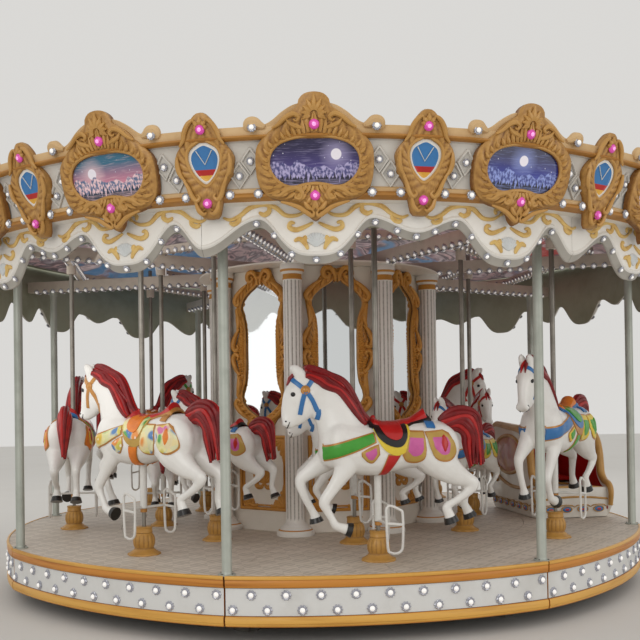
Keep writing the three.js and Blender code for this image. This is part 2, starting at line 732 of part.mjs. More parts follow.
for (let panel = 0; panel < PANELS; panel += 1) {
  const middle = panel * PANEL_ANGLE;
  const corner = middle + HALF_PANEL;
  place(`rim_${panel + 1}`, turned(rimSegment(), middle), finish('gold', 0.4, 0.4));
  place(`post_${panel + 1}`, post(corner), finish('steel', 0.3, 0.9));
  place(`radial_beam_${panel + 1}`, turned(radialBeam(), corner), finish('steel', 0.6, 0.5));
  place(`crown_${panel + 1}`, turned(crownPanel(), middle + CROWN_TURN), finish('white', 0.5));
}

const counts = { outer: 0, inner: 0 };
for (const spot of horsePlaces()) {
  counts[spot.ring] += 1;
  place(`${spot.ring}_horse_${counts[spot.ring]}`, horse(spot), finish('white', 0.35));
}

export default carousel;
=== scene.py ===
"""Looks of a fairground carousel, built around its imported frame.

Metres, +Z up. Angles are in degrees, counter-clockwise seen from above, from the direction -Y.
"""

import json
import logging
import math
from dataclasses import dataclass, field
from enum import Enum
from math import cos, pi, sin
from typing import Callable, Optional, Sequence

import bpy
import numpy as np
from mathutils import Matrix, Vector
from mathutils.bvhtree import BVHTree

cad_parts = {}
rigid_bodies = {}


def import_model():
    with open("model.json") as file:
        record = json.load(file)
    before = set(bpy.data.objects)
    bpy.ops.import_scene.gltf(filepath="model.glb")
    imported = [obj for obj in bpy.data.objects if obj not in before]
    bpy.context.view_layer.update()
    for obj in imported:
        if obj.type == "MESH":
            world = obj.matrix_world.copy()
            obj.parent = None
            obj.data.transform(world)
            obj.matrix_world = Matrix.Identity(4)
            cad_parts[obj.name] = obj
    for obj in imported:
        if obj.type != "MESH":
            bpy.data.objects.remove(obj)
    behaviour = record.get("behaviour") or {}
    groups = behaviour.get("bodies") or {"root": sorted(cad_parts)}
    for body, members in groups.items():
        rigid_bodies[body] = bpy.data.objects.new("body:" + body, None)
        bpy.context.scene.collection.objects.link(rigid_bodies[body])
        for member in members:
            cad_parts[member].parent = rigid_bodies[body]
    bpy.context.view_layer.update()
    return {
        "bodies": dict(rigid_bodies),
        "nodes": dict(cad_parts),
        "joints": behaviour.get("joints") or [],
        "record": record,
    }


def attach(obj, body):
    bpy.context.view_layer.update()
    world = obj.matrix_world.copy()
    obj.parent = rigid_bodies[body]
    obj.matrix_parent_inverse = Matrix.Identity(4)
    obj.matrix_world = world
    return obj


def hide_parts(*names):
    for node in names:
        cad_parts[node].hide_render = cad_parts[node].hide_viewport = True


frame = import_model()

LOG = logging.getLogger("carousel")

Colour = tuple[float, float, float, float]
Place = Callable[[float, float], Vector]
Points = Sequence[Sequence[float]]
Piece = bpy.types.Object
Socket = bpy.types.NodeSocket
Part = tuple[Piece, Sequence[Matrix]]

MM = 0.001
PANELS = 8
PANEL_ANGLE = 360 / PANELS
HALF_PANEL = PANEL_ANGLE / 2
OUTER_CIRCLE = 2160.0
INNER_CIRCLE = 1404.0
RELIEF = "relief"
PATTERN = "pattern"


def tone(code: str) -> Colour:
    """Turns a given colour into the shader's linear colour.

    Args:
        code: six hexadecimal digits, red, green and blue.

    Returns:
        Linear red, green, blue and an alpha of 1.
    """
    parts = [int(code[k:k + 2], 16) / 255 for k in (0, 2, 4)]
    linear = [c / 12.92 if c <= 0.04045 else ((c + 0.055) / 1.055) ** 2.4 for c in parts]
    return linear[0], linear[1], linear[2], 1.0


def polar(radius: float, degrees: float, height: float = 0.0) -> Vector:
    """Gives the point at a radius, an angle and a height."""
    turn = math.radians(degrees)
    return Vector((radius * sin(turn), -radius * cos(turn), height))


def turn_about_axis(degrees: float) -> Matrix:
    """Gives the turn about the carousel's axis."""
    return Matrix.Rotation(math.radians(degrees), 4, "Z")


def curve_through(keys: Points, steps: int, closed: bool = False) -> list[np.ndarray]:
    """Draws a smooth curve through a few points of any dimension.

    Args:
        keys: the points that the curve passes.
        steps: points made for each stretch between two keys.
        closed: whether the last key joins the first.

    Returns:
        The points of the curve, in order.
    """
    spots = [np.array(key, float) for key in keys]
    count = len(spots)
    spans = count if closed else count - 1
    made = []
    for span in range(spans):
        if closed:
            a, b, c, d = (spots[(span + k) % count] for k in (-1, 0, 1, 2))
        else:
            a, b, c, d = (spots[min(max(span + k, 0), count - 1)] for k in (-1, 0, 1, 2))
        for step in range(steps):
            t = step / steps
            made.append(0.5 * (2 * b + (c - a) * t + (2 * a - 5 * b + 4 * c - d) * t * t
                               + (3 * b - a - 3 * c + d) * t ** 3))
    if not closed:
        made.append(spots[-1])
    return made


def swept(keys: Points, steps: int, place: Callable[..., Vector],
          size: Callable[[float], float]) -> list[tuple[float, ...]]:
    """Draws a path for a bar along a smooth curve.

    Args:
        keys: the points that the curve passes.
        steps: points made for each stretch between two keys.
        place: the point in space for a point of the curve.
        size: factor on the bar's radius for the share of the curve.

    Returns:
        The path's points, each with its factor.
    """
    line = curve_through(keys, steps)
    return [(*place(*spot), size(step / (len(line) - 1))) for step, spot in enumerate(line)]


def swell(share: float) -> float:
    """Gives 0 at both ends of a path and 1 at its middle."""
    return sin(pi * min(share, 1.0))


def along(points: Sequence[np.ndarray], share: float) -> np.ndarray:
    """Gives the point at a share, from 0 to 1, of a list of points.

    Args:
        points: the points, in order.
        share: share from 0 to 1.

    Returns:
        The point.
    """
    spot = min(max(share, 0.0), 1.0) * (len(points) - 1)
    low = min(int(spot), len(points) - 2)
    return points[low] + (points[low + 1] - points[low]) * (spot - low)


class Bench:
    """Modelling moves that every sub-assembly uses."""

    MERGE = 2e-5

    @staticmethod
    def clear() -> None:
        """Leaves edit mode and deselects everything."""
        if bpy.context.object and bpy.context.object.mode != "OBJECT":
            bpy.ops.object.mode_set(mode="OBJECT")
        bpy.ops.object.select_all(action="DESELECT")

    @classmethod
    def pick(cls, piece: Piece) -> None:
        """Selects one object and makes it active.

        Args:
            piece: the object.
        """
        cls.clear()
        piece.select_set(True)
        bpy.context.view_layer.objects.active = piece

    @classmethod
    def name(cls, piece: Piece, name: str) -> Piece:
        """Names an object and its mesh.

        Args:
            piece: the object.
            name: name of the object.

        Returns:
            The same object.
        """
        piece.name = name
        piece.data.name = name
        return piece

    @classmethod
    def weld(cls, piece: Piece, cap: bool = False) -> None:
        """Merges doubles, closes open ends where asked, and points the faces outwards.

        Args:
            piece: the object.
            cap: whether open ends are closed.
        """
        cls.pick(piece)
        bpy.ops.object.mode_set(mode="EDIT")
        bpy.ops.mesh.select_all(action="SELECT")
        bpy.ops.mesh.remove_doubles(threshold=cls.MERGE)
        bpy.ops.mesh.dissolve_degenerate(threshold=cls.MERGE)
        if cap:
            bpy.ops.mesh.select_all(action="DESELECT")
            bpy.ops.mesh.select_mode(type="EDGE")
            bpy.ops.mesh.select_non_manifold(extend=False)
            bpy.ops.mesh.edge_face_add()
            bpy.ops.mesh.select_mode(type="VERT")
        bpy.ops.mesh.select_all(action="SELECT")
        bpy.ops.mesh.normals_make_consistent(inside=False)
        bpy.ops.object.mode_set(mode="OBJECT")

    @classmethod
    def shade(cls, piece: Piece, degrees: float = 40.0) -> Piece:
        """Shades smooth except across edges sharper than an angle.

        Args:
            piece: the object.
            degrees: edges sharper than this angle stay sharp.

        Returns:
            The same object.
        """
        cls.pick(piece)
        bpy.ops.object.shade_smooth_by_angle(angle=math.radians(degrees))
        return piece

    @classmethod
    def modify(cls, piece: Piece, kind: str, **values: object) -> None:
        """Adds a modifier, sets its values and applies it.

        Args:
            piece: the object.
            kind: the modifier's type.
            values: the modifier's settings.
        """
        cls.pick(piece)
        modifier = piece.modifiers.new(kind.title(), kind)
        for key, value in values.items():
            setattr(modifier, key, value)
        bpy.ops.object.modifier_apply(modifier=modifier.name)

    @classmethod
    def paint(cls, piece: Piece, *finishes: object) -> Piece:
        """Gives an object its materials, in the order of its material slots.

        Args:
            piece: the object.
            finishes: finishes or ready materials.

        Returns:
            The same object.
        """
        slots = [face.material_index for face in piece.data.polygons]
        piece.data.materials.clear()
        for finish in finishes:
            piece.data.materials.append(finish.build() if isinstance(finish, Surface) else finish)
        piece.data.polygons.foreach_set("material_index", slots)
        return piece

    @classmethod
    def skin(cls, name: str, columns: int, rows: int, place: Place,
             tint: Optional[Callable[[float, float], int]] = None,
             relief: Optional[Callable[[float, float], float]] = None,
             sharp: float = 40.0, cap: bool = False) -> Piece:
        """Bends a grid into a skin.

        Args:
            name: name of the object.
            columns: faces in the first direction.
            rows: faces in the second direction.
            place: point in space for two shares from 0 to 1.
            tint: material slot for the two shares at the middle of a face.
            relief: 0 in the hollows of carving and 1 on its ridges.
            sharp: edges sharper than this angle stay sharp.
            cap: whether open ends are closed.

        Returns:
            The welded, smooth-shaded object.
        """
        cls.clear()
        bpy.ops.mesh.primitive_grid_add(x_subdivisions=columns, y_subdivisions=rows, size=1)
        piece = cls.name(bpy.context.object, name)
        mesh = piece.data
        shares = [(vert.co.x + 0.5, vert.co.y + 0.5) for vert in mesh.vertices]
        if tint:
            for face in mesh.polygons:
                middle = np.mean([shares[index] for index in face.vertices], axis=0)
                face.material_index = tint(float(middle[0]), float(middle[1]))
        if relief:
            layer = mesh.attributes.new(RELIEF, "FLOAT", "POINT")
            layer.data.foreach_set("value", [relief(s, t) for s, t in shares])
        for vert, (s, t) in zip(mesh.vertices, shares):
            vert.co = place(s, t)
        cls.weld(piece, cap)
        return cls.shade(piece, sharp)

    @classmethod
    def turned(cls, name: str, profile: Points, sides: int, sharp: float = 40.0,
               flute: Optional[Callable[[float, float], float]] = None,
               tint: Optional[Callable[[float, float], int]] = None,
               relief: Optional[Callable[[float, float], float]] = None) -> Piece:
        """Turns a profile of radius and height, in millimetres, about the axis.

        Args:
            name: name of the object.
            profile: radius and height pairs from bottom to top.
            sides: faces round the axis.
            sharp: edges sharper than this angle stay sharp.
            flute: factor on the radius for the angle in radians and the share of the profile.
            tint: material slot for the shares round and along.
            relief: 0 in hollows and 1 on ridges, for the shares round and along.

        Returns:
            The closed object.
        """
        outline = [np.array(point, float) for point in profile]

        def place(s: float, t: float) -> Vector:
            """Point of the profile, turned about the axis.

            Args:
                s: share of the first direction.
                t: share of the second direction.

            Returns:
                The point in metres.
            """
            radius, height = along(outline, t)
            angle = 2 * pi * s
            factor = flute(angle, t) if flute else 1.0
            radius = radius * factor * MM
            return Vector((radius * cos(angle), radius * sin(angle), height * MM))

        return cls.skin(name, sides, len(outline) - 1, place, tint=tint, relief=relief, sharp=sharp)

    @classmethod
    def tubes(cls, name: str, paths: Sequence[Points], radius: float, fineness: int = 2,
              closed: bool = False) -> Piece:
        """Runs round bars along paths of x, y, z and, where given, a factor on the radius.

        Args:
            name: name of the object.
            paths: points of every bar.
            radius: the bars' radius in metres.
            fineness: steps round the bar.
            closed: whether the last point joins the first.

        Returns:
            The object.
        """
        curve = bpy.data.curves.new(name, "CURVE")
        curve.dimensions = "3D"
        curve.bevel_depth = radius
        curve.bevel_resolution = fineness
        curve.use_fill_caps = True
        for path in paths:
            spline = curve.splines.new("POLY")
            spline.points.add(len(path) - 1)
            spline.use_cyclic_u = closed
            for spot, point in zip(path, spline.points):
                point.co = (spot[0], spot[1], spot[2], 1.0)
                point.radius = spot[3] if len(spot) > 3 else 1.0
        piece = bpy.data.objects.new(name, curve)
        bpy.context.scene.collection.objects.link(piece)
        cls.pick(piece)
        bpy.ops.object.convert(target="MESH")
        piece = cls.name(bpy.context.object, name)
        cls.weld(piece)
        return cls.shade(piece)

    @classmethod
    def block(cls, name: str, low: Sequence[float], high: Sequence[float], bevel: float = 4.0,
              segments: int = 2) -> Piece:
        """Makes a box with rounded edges between two corners given in millimetres.

        Args:
            name: name of the object.
            low: lowest corner or height.
            high: highest corner or height.
            bevel: width of the rounding.
            segments: steps of the rounding.

        Returns:
            The object.
        """
        cls.clear()
        middle = [(a + b) / 2 * MM for a, b in zip(low, high)]
        bpy.ops.mesh.primitive_cube_add(size=1, location=middle)
        piece = cls.name(bpy.context.object, name)
        bpy.ops.object.mode_set(mode="EDIT")
        bpy.ops.mesh.select_all(action="SELECT")
        sizes = [(b - a) * MM for a, b in zip(low, high)]
        bpy.ops.transform.resize(value=sizes)
        bpy.ops.mesh.bevel(offset=bevel * MM, segments=segments, affect="EDGES")
        bpy.ops.object.mode_set(mode="OBJECT")
        bpy.ops.object.transform_apply(location=True, rotation=False, scale=False)
        return cls.shade(piece)

    @classmethod
    def moved(cls, piece: Piece, matrix: Matrix) -> Piece:
        """Moves the mesh of an object and leaves the object at the origin.

        Args:
            piece: the object.
            matrix: where it goes.

        Returns:
            The same object.
        """
        piece.data.transform(matrix)
        if matrix.determinant() < 0:
            piece.data.flip_normals()
        piece.data.update()
        return piece

    @classmethod
    def copy(cls, piece: Piece, name: str, matrix: Matrix) -> Piece:
        """Copies an object with a mesh of its own, and moves the copy's mesh.

        Args:
            piece: the object.
            name: name of the object.
            matrix: where it goes.

        Returns:
            The copy.
        """
        twin = piece.copy()
        twin.data = piece.data.copy()
        bpy.context.scene.collection.objects.link(twin)
        return cls.moved(cls.name(twin, name), matrix)

    @staticmethod
    def once(*shapes: Piece) -> list[Part]:
        """Lists shapes that are used one time each, where they are."""
        return [(shape, [Matrix()]) for shape in shapes]

    @classmethod
    def drop(cls, *pieces: Piece) -> None:
        """Deletes helper objects."""
        for piece in pieces:
            bpy.data.meshes.remove(piece.data)

    @classmethod
    def gather(cls, name: str, parts: Sequence[Part], keep: bool = False) -> Piece:
        """Joins copies of several shapes into one piece.

        Args:
            name: name of the joined piece.
            parts: each shape with the matrices of its copies.
            keep: whether the shapes stay for later use.

        Returns:
            The joined piece.
        """
        finishes: list[bpy.types.Material] = []
        spots, loops, totals, slots, heights, maps = [], [], [], [], [], []
        count = 0
        for shape, places in parts:
            mesh = shape.data
            for material in mesh.materials:
                if material not in finishes:
                    finishes.append(material)
            table = np.array([finishes.index(m) for m in mesh.materials] or [0])
            co = np.empty(len(mesh.vertices) * 3)
            mesh.vertices.foreach_get("co", co)
            co = co.reshape(-1, 3)
            corner = np.empty(len(mesh.loops), int)
            mesh.loops.foreach_get("vertex_index", corner)
            total = np.empty(len(mesh.polygons), int)
            mesh.polygons.foreach_get("loop_total", total)
            slot = np.empty(len(mesh.polygons), int)
            mesh.polygons.foreach_get("material_index", slot)
            height = np.ones(len(mesh.vertices))
            if RELIEF in mesh.attributes:
                mesh.attributes[RELIEF].data.foreach_get("value", height)
            chart = np.zeros(len(mesh.loops) * 2)
            if PATTERN in mesh.uv_layers:
                mesh.uv_layers[PATTERN].data.foreach_get("uv", chart)
            chart = chart.reshape(-1, 2)
            starts = np.concatenate(([0], np.cumsum(total)[:-1]))
            back = np.concatenate([np.arange(a + n - 1, a - 1, -1) for a, n in zip(starts, total)])
            for matrix in places:
                grid = np.array(matrix)
                spots.append(co @ grid[:3, :3].T + grid[:3, 3])
                order = back if matrix.determinant() < 0 else slice(None)
                loops.append(corner[order] + count)
                maps.append(chart[order])
                totals.append(total)
                slots.append(table[np.minimum(slot, len(table) - 1)])
                heights.append(height)
                count += len(co)
        mesh = bpy.data.meshes.new(name)
        mesh.vertices.add(count)
        mesh.vertices.foreach_set("co", np.concatenate(spots).ravel())
        loops_all, totals_all = np.concatenate(loops), np.concatenate(totals)
        mesh.loops.add(len(loops_all))
        mesh.loops.foreach_set("vertex_index", loops_all)
        mesh.polygons.add(len(totals_all))
        mesh.polygons.foreach_set("loop_start", np.concatenate(([0], np.cumsum(totals_all)[:-1])))
        mesh.polygons.foreach_set("material_index", np.concatenate(slots))
        mesh.update(calc_edges=True)
        mesh.attributes.new(RELIEF, "FLOAT", "POINT").data.foreach_set("value", np.concatenate(heights))
        mesh.uv_layers.new(name=PATTERN).data.foreach_set("uv", np.concatenate(maps).ravel())
        for finish in finishes:
            mesh.materials.append(finish)
        piece = bpy.data.objects.new(name, mesh)
        bpy.context.scene.collection.objects.link(piece)
        if not keep:
            cls.drop(*{shape.name: shape for shape, _ in parts}.values())
        return cls.shade(piece)

    @classmethod
    def mount(cls, piece: Piece, body: str, slot: str, *nodes: str) -> Piece:
        """Hangs a finished piece on its body and hides the CAD nodes that it stands for.

        Args:
            piece: the object.
            body: the body that it rides on.
            slot: not used.
            nodes: CAD nodes that it stands for.

        Returns:
            The same object.
        """
        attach(piece, body)
        if nodes:
            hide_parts(*nodes)
        LOG.info("%s: %d faces on %s", piece.name, len(piece.data.polygons), body)
        return piece


class Weave:
    """Adds shader nodes to a tree, each with its settings, values and links in one call."""

    def __init__(self, tree: bpy.types.NodeTree) -> None:
        """Works on one tree."""
        self.tree = tree

    def node(self, kind: str, inputs: dict, **settings: object) -> bpy.types.Node:
        """Adds one node.

        Args:
            kind: the node's type after "ShaderNode".
            inputs: a value, or a socket to link, by the input's label or number.
            settings: the node's own properties.

        Returns:
            The node.
        """
        made = self.tree.nodes.new("ShaderNode" + kind)
        for key, value in settings.items():
            setattr(made, key, value)
        for key, value in inputs.items():
            if isinstance(value, Socket):
                self.tree.links.new(value, made.inputs[key])
            else:
                made.inputs[key].default_value = value
        return made

    def constants(self, values: dict[str, object]) -> None:
        """Sets constants on the Principled shader."""
        for label, value in values.items():
            self.tree.nodes["Principled BSDF"].inputs[label].default_value = value

    def feed(self, label: str, socket: Socket) -> None:
        """Links a socket into the Principled shader."""
        self.tree.links.new(socket, self.tree.nodes["Principled BSDF"].inputs[label])

    def place(self) -> Socket:
        """Object coordinates."""
        return self.node("TexCoord", {}).outputs["Object"]

    def math(self, operation: str, *values: object) -> Socket:
        """Arithmetic on numbers."""
        return self.node("Math", dict(enumerate(values)), operation=operation).outputs[0]

    def vector(self, operation: str, *values: object) -> Socket:
        """Arithmetic on vectors."""
        made = self.node("VectorMath", dict(enumerate(values)), operation=operation)
        return made.outputs["Value" if operation in ("DISTANCE", "DOT_PRODUCT") else "Vector"]

    def step(self, value: object, low: float, high: float, most: float = 1.0,
             **settings: object) -> Socket:
        """Step from nothing at low to most at high."""
        inputs = {"Value": value, "From Min": low, "From Max": high, "To Max": most}
        return self.node("MapRange", inputs, **settings).outputs["Result"]

    def mix(self, share: object, under: object, over: object) -> Socket:
        """Lays one colour over another by a mask; a plain colour may be given by its code.

        Args:
            share: the mask.
            under: colour where the mask is 0.
            over: colour where the mask is 1.

        Returns:
            The mixed colour.
        """
        under, over = (tone(paint) if isinstance(paint, str) else paint for paint in (under, over))
        inputs = {"Factor": share, "A": under, "B": over}
        return self.node("Mix", inputs, data_type="RGBA").outputs["Result"]

    def ramp(self, share: object, bands: Sequence[tuple[float, str]],
             interpolation: str = "LINEAR") -> Socket:
        """Row of colours, each with its position.

        Args:
            share: what picks the colour.
            bands: position and colour code of every band.
            interpolation: how one band goes over into the next.

        Returns:
            The picked colour.
        """
        made = self.node("ValToRGB", {"Fac": share})
        ramp = made.color_ramp
        ramp.interpolation = interpolation
        while len(ramp.elements) < len(bands):
            ramp.elements.new(0.5)
        for element, (position, code) in zip(ramp.elements, bands):
            element.position = position
            element.color = tone(code)
        return made.outputs["Color"]

    def bump(self, height: object, strength: float) -> Socket:
        """Normal of a low relief."""
        inputs = {"Height": height, "Strength": strength, "Distance": 2 * MM}
        return self.node("Bump", inputs).outputs["Normal"]


class Groups:
    """Shader node groups shared by the finishes, each built once."""

    @staticmethod
    def start(name: str, inputs: dict[str, object],
              outputs: dict[str, str]) -> tuple[Weave, bpy.types.Node, bpy.types.Node]:
        """Starts a group with named sockets.

        Args:
            name: name of the group.
            inputs: default value by name; its length gives the socket's kind.
            outputs: socket kind by name.

        Returns:
            The helper for the group's tree, and the tree's input and output nodes.
        """
        tree = bpy.data.node_groups.new(name, "ShaderNodeTree")
        for label, value in inputs.items():
            size = 1 if isinstance(value, float) else len(value)
            kind = {1: "NodeSocketFloat", 3: "NodeSocketVector", 4: "NodeSocketColor"}[size]
            socket = tree.interface.new_socket(name=label, in_out="INPUT", socket_type=kind)
            socket.default_value = value
        for label, kind in outputs.items():
            tree.interface.new_socket(name=label, in_out="OUTPUT", socket_type=kind)
        return Weave(tree), tree.nodes.new("NodeGroupInput"), tree.nodes.new("NodeGroupOutput")

    @classmethod
    def blotches(cls) -> bpy.types.NodeTree:
        """Soft uneven colour: mixes two colours by noise of a given scale.

        Returns:
            The group.
        """
        name = "uneven_colour"
        if name in bpy.data.node_groups:
            return bpy.data.node_groups[name]
        weave, enter, leave = cls.start(name, {
            "Base": (0.5, 0.5, 0.5, 1), "Stain": (0.3, 0.3, 0.3, 1), "Amount": 0.3, "Scale": 4.0,
            "Stretch": (1.0, 1.0, 1.0),
        }, {"Colour": "NodeSocketColor", "Mask": "NodeSocketFloat"})
        spot = weave.vector("MULTIPLY", weave.place(), enter.outputs["Stretch"])
        noise = weave.node(
            "TexNoise", {"Vector": spot, "Scale": enter.outputs["Scale"], "Detail": 6, "Roughness": 0.62},
        )
        band = weave.step(noise.outputs["Fac"], 0.42, 0.72, interpolation_type="SMOOTHSTEP")
        share = weave.math("MULTIPLY", band, enter.outputs["Amount"])
        colour = weave.mix(share, enter.outputs["Base"], enter.outputs["Stain"])
        weave.tree.links.new(colour, leave.inputs["Colour"])
        weave.tree.links.new(share, leave.inputs["Mask"])
        return weave.tree

    @classmethod
    def carving(cls) -> bpy.types.NodeTree:
        """Painted shade in carving, with patina on the gold: ridges keep the base colour, and hollows and
        grooves go dark.

        Returns:
            The group.
        """
        name = "carved_relief"
        if name in bpy.data.node_groups:
            return bpy.data.node_groups[name]
        weave, enter, leave = cls.start(name, {
            "Base": (0.5, 0.4, 0.2, 1), "Hollow": (0.2, 0.1, 0.05, 1),
        }, {"Colour": "NodeSocketColor"})
        relief = weave.node("Attribute", {}, attribute_name=RELIEF)
        noise = weave.node("TexNoise", {"Vector": weave.place(), "Scale": 60, "Detail": 3})
        # Painted shade: the relief darkens hollows and grooves; noise adds uneven wear.
        shade_and_wear = weave.math("MULTIPLY_ADD", noise.outputs["Fac"], 0.5, relief.outputs["Fac"])
        share = weave.step(shade_and_wear, 0.35, 1.05)
        colour = weave.mix(share, enter.outputs["Hollow"], enter.outputs["Base"])
        weave.tree.links.new(colour, leave.inputs["Colour"])
        return weave.tree

    @classmethod
    def grain(cls) -> bpy.types.NodeTree:
        """Fine unevenness of a surface, as a height for a bump.

        Returns:
            The group.
        """
        name = "fine_grain"
        if name in bpy.data.node_groups:
            return bpy.data.node_groups[name]
        weave, enter, leave = cls.start(
            name, {"Scale": 200.0, "Stretch": (1.0, 1.0, 1.0)}, {"Height": "NodeSocketFloat"},
        )
        spot = weave.vector("MULTIPLY", weave.place(), enter.outputs["Stretch"])
        noise = weave.node("TexNoise", {"Vector": spot, "Scale": enter.outputs["Scale"], "Detail": 4})
        weave.tree.links.new(noise.outputs["Fac"], leave.inputs["Height"])
        return weave.tree


@dataclass(frozen=True)
class Surface:
    """A named material that is built once."""

    name: str

    def build(self) -> bpy.types.Material:
        """Builds the material once and returns it afterwards.

        Returns:
            The material.
        """
        if self.name not in bpy.data.materials:
            material = bpy.data.materials.new(self.name)
            material.use_nodes = True
            self.weave(Weave(material.node_tree))
        return bpy.data.materials[self.name]

    def weave(self, weave: Weave) -> None:
        """Adds the material's nodes."""


@dataclass(frozen=True)
class Finish(Surface):
    """One painted, metal or moulded finish."""

    colour: str
    stain: str
    amount: float = 0.35
    scale: float = 3.0
    roughness: float = 0.4
    metallic: float = 0.0
    coat: float = 0.0
    grain: float = 180.0
    bump: float = 0.08
    stretch: tuple[float, float, float] = (1.0, 1.0, 1.0)
    streak: tuple[float, float, float] = (1.0, 1.0, 1.0)
    hollow: Optional[str] = None
    glow: float = 0.0
    shine: float = 0.35

    def weave(self, weave: Weave) -> None:
        """Uneven colour, dark hollows where asked (painted shade, with patina on the gold), roughness that
        follows the stains, and grain.

        Args:
            weave: helper for the material's tree.
        """
        weave.constants({"Roughness": self.roughness, "Metallic": self.metallic, "Coat Weight": self.coat,
                         "Specular IOR Level": self.shine})
        if self.glow:
            weave.constants({"Emission Color": tone(self.colour), "Emission Strength": self.glow})
        uneven = weave.node("Group", {}, node_tree=Groups.blotches())
        for label, value in (("Base", tone(self.colour)), ("Stain", tone(self.stain)),
                             ("Amount", self.amount), ("Scale", self.scale), ("Stretch", self.streak)):
            uneven.inputs[label].default_value = value
        colour = uneven.outputs["Colour"]
        # Hollows darkened by the relief: painted shade, with patina on the gold.
        if self.hollow:
            inputs = {"Hollow": tone(self.hollow), "Base": colour}
            colour = weave.node("Group", inputs, node_tree=Groups.carving()).outputs["Colour"]
        weave.feed("Base Color", colour)
        stained = 0.25
        weave.feed("Roughness", weave.math("MULTIPLY_ADD", uneven.outputs["Mask"], stained, self.roughness))
        inputs = {"Scale": self.grain, "Stretch": self.stretch}
        height = weave.node("Group", inputs, node_tree=Groups.grain()).outputs["Height"]
        weave.feed("Normal", weave.bump(height, self.bump))


@dataclass(frozen=True)
class Picture(Surface):
    """Painted night landscape in an oval, of the builder's own design: sky, moon, peaks, firs, water."""

    sky: str
    horizon: str
    light: str
    peaks: str
    firs: str
    moon: tuple[float, float] = (0.74, 0.66)

    def weave(self, weave: Weave) -> None:
        """Paints the landscape on the picture's own map, from the sky down to the water.

        Args:
            weave: helper for the material's tree.
        """
        weave.constants({"Roughness": 0.3, "Coat Weight": 0.4})
        chart = weave.node("UVMap", {}, uv_map=PATTERN).outputs["UV"]
        split = weave.node("SeparateXYZ", {0: chart})
        across, height = split.outputs["X"], split.outputs["Y"]

        def noise(stretch: tuple[float, float, float], scale: float) -> Socket:
            """Noise on the stretched map."""
            spot = weave.node("Mapping", {"Vector": chart, "Scale": stretch}).outputs["Vector"]
            return weave.node("TexNoise", {"Vector": spot, "Scale": scale, "Detail": 5}).outputs["Fac"]

        colour = weave.ramp(height, ((0.3, self.horizon), (0.8, self.sky)))
        flat = weave.vector("MULTIPLY", chart, (1.0, 0.5, 1.0))
        away = weave.vector("DISTANCE", flat, (self.moon[0], self.moon[1] / 2, 0))
        stars = weave.node("TexVoronoi", {"Vector": flat, "Scale": 18}).outputs["Distance"]
        for value, low, high, most, paint in (
            (noise((2.0, 9.0, 1.0), 3.0), 0.52, 0.8, 0.5, self.light), (away, 0.2, 0.04, 0.6, self.light),
            (away, 0.062, 0.055, 1.0, "efeaf4"), (stars, 0.13, 0.07, 0.9, "e6e6fa"),
        ):
            colour = weave.mix(weave.step(value, low, high, most), colour, paint)
        rock = weave.mix(weave.step(noise((9.0, 3.0, 1.0), 4.0), 0.42, 0.58), self.light, self.peaks)
        for scale, rise, base, paint in ((5.0, 0.62, 0.12, rock), (34.0, 0.4, -0.02, self.firs)):
            inputs = {"W": across, "Scale": scale, "Detail": 1.5}
            ridge = weave.node("TexNoise", inputs, noise_dimensions="1D").outputs["Fac"]
            top = weave.math("MULTIPLY_ADD", ridge, rise, base)
            colour = weave.mix(weave.step(weave.math("SUBTRACT", top, height), -0.01, 0.01), colour, paint)
        shore = weave.step(height, 0.15, 0.13)
        glint = weave.math("MULTIPLY", shore, weave.step(noise((2.5, 46.0, 1.0), 2.0), 0.48, 0.62, 0.9))
        weave.feed("Base Color", weave.mix(glint, colour, self.light))


@dataclass(frozen=True)
class Floral(Surface):
    """Hand-painted flowery cloth: patches of green, orange, yellow, pink and blue."""

    scale: float = 13.0

    def weave(self, weave: Weave) -> None:
        """Bent cells of six colours with pale veins and hearts.

        Args:
            weave: helper for the material's tree.
        """
        weave.constants({"Roughness": 0.35, "Coat Weight": 0.4})
        place = weave.place()
        bend = weave.node("TexNoise", {"Vector": place, "Scale": 6}).outputs["Color"]
        moved = weave.vector("MULTIPLY_ADD", bend, (0.12, 0.12, 0.12), place)
        petals = weave.node("TexVoronoi", {"Vector": moved, "Scale": self.scale})
        pick = weave.node("SeparateColor", {"Color": petals.outputs["Color"]}).outputs["Red"]
        tints = ("d8b23c", "4a9a3c", "e08a34", "c9649a", "cdbf52", "4878b0")
        colour = weave.ramp(pick, [(k / len(tints), tint) for k, tint in enumerate(tints)], "CONSTANT")
        for low, high, most, tint in ((0.42, 0.62, 0.85, "e6dfa8"), (0.16, 0.1, 0.8, "f0ead8")):
            colour = weave.mix(weave.step(petals.outputs["Distance"], low, high, most), colour, tint)
        weave.feed("Base Color", colour)


@dataclass(frozen=True)
class Tread(Surface):
    """Bare aluminium tread plate: short raised bars that change direction from cell to cell."""

    colour: str
    stain: str
    shade: str
    cells: float = 9.0
    bars: float = 96.0

    def weave(self, weave: Weave) -> None:
        """Uneven metal with darker gaps between slanted bars, and every other cell darker: painted shade.

        Args:
            weave: helper for the material's tree.
        """
        weave.constants({"Roughness": 0.55})
        inputs = {"Base": tone(self.colour), "Stain": tone(self.stain), "Amount": 0.7, "Scale": 1.4}
        uneven = weave.node("Group", inputs, node_tree=Groups.blotches()).outputs["Colour"]
        place = weave.place()
        checker = weave.node("TexChecker", {"Vector": place, "Scale": self.cells}).outputs["Fac"]
        bars = []
        for side in (1, -1):
            slant = weave.vector("DOT_PRODUCT", place, (self.bars, side * self.bars, 0.0))
            bars.append(weave.step(weave.math("SINE", slant), 0.1, 0.8))
        inputs = {"Factor": checker, "A": bars[0], "B": bars[1]}
        relief = weave.node("Mix", inputs, data_type="FLOAT").outputs["Result"]
        # Painted shade: cells whose bars run the other way are darker, and so are the gaps between the bars.
        colour = weave.mix(weave.step(checker, 0.0, 1.0, 0.2), uneven, self.shade)
        weave.feed("Base Color", weave.mix(weave.step(relief, 1.0, 0.0, 0.34), colour, self.shade))
        weave.feed("Normal", weave.bump(relief, 0.5))


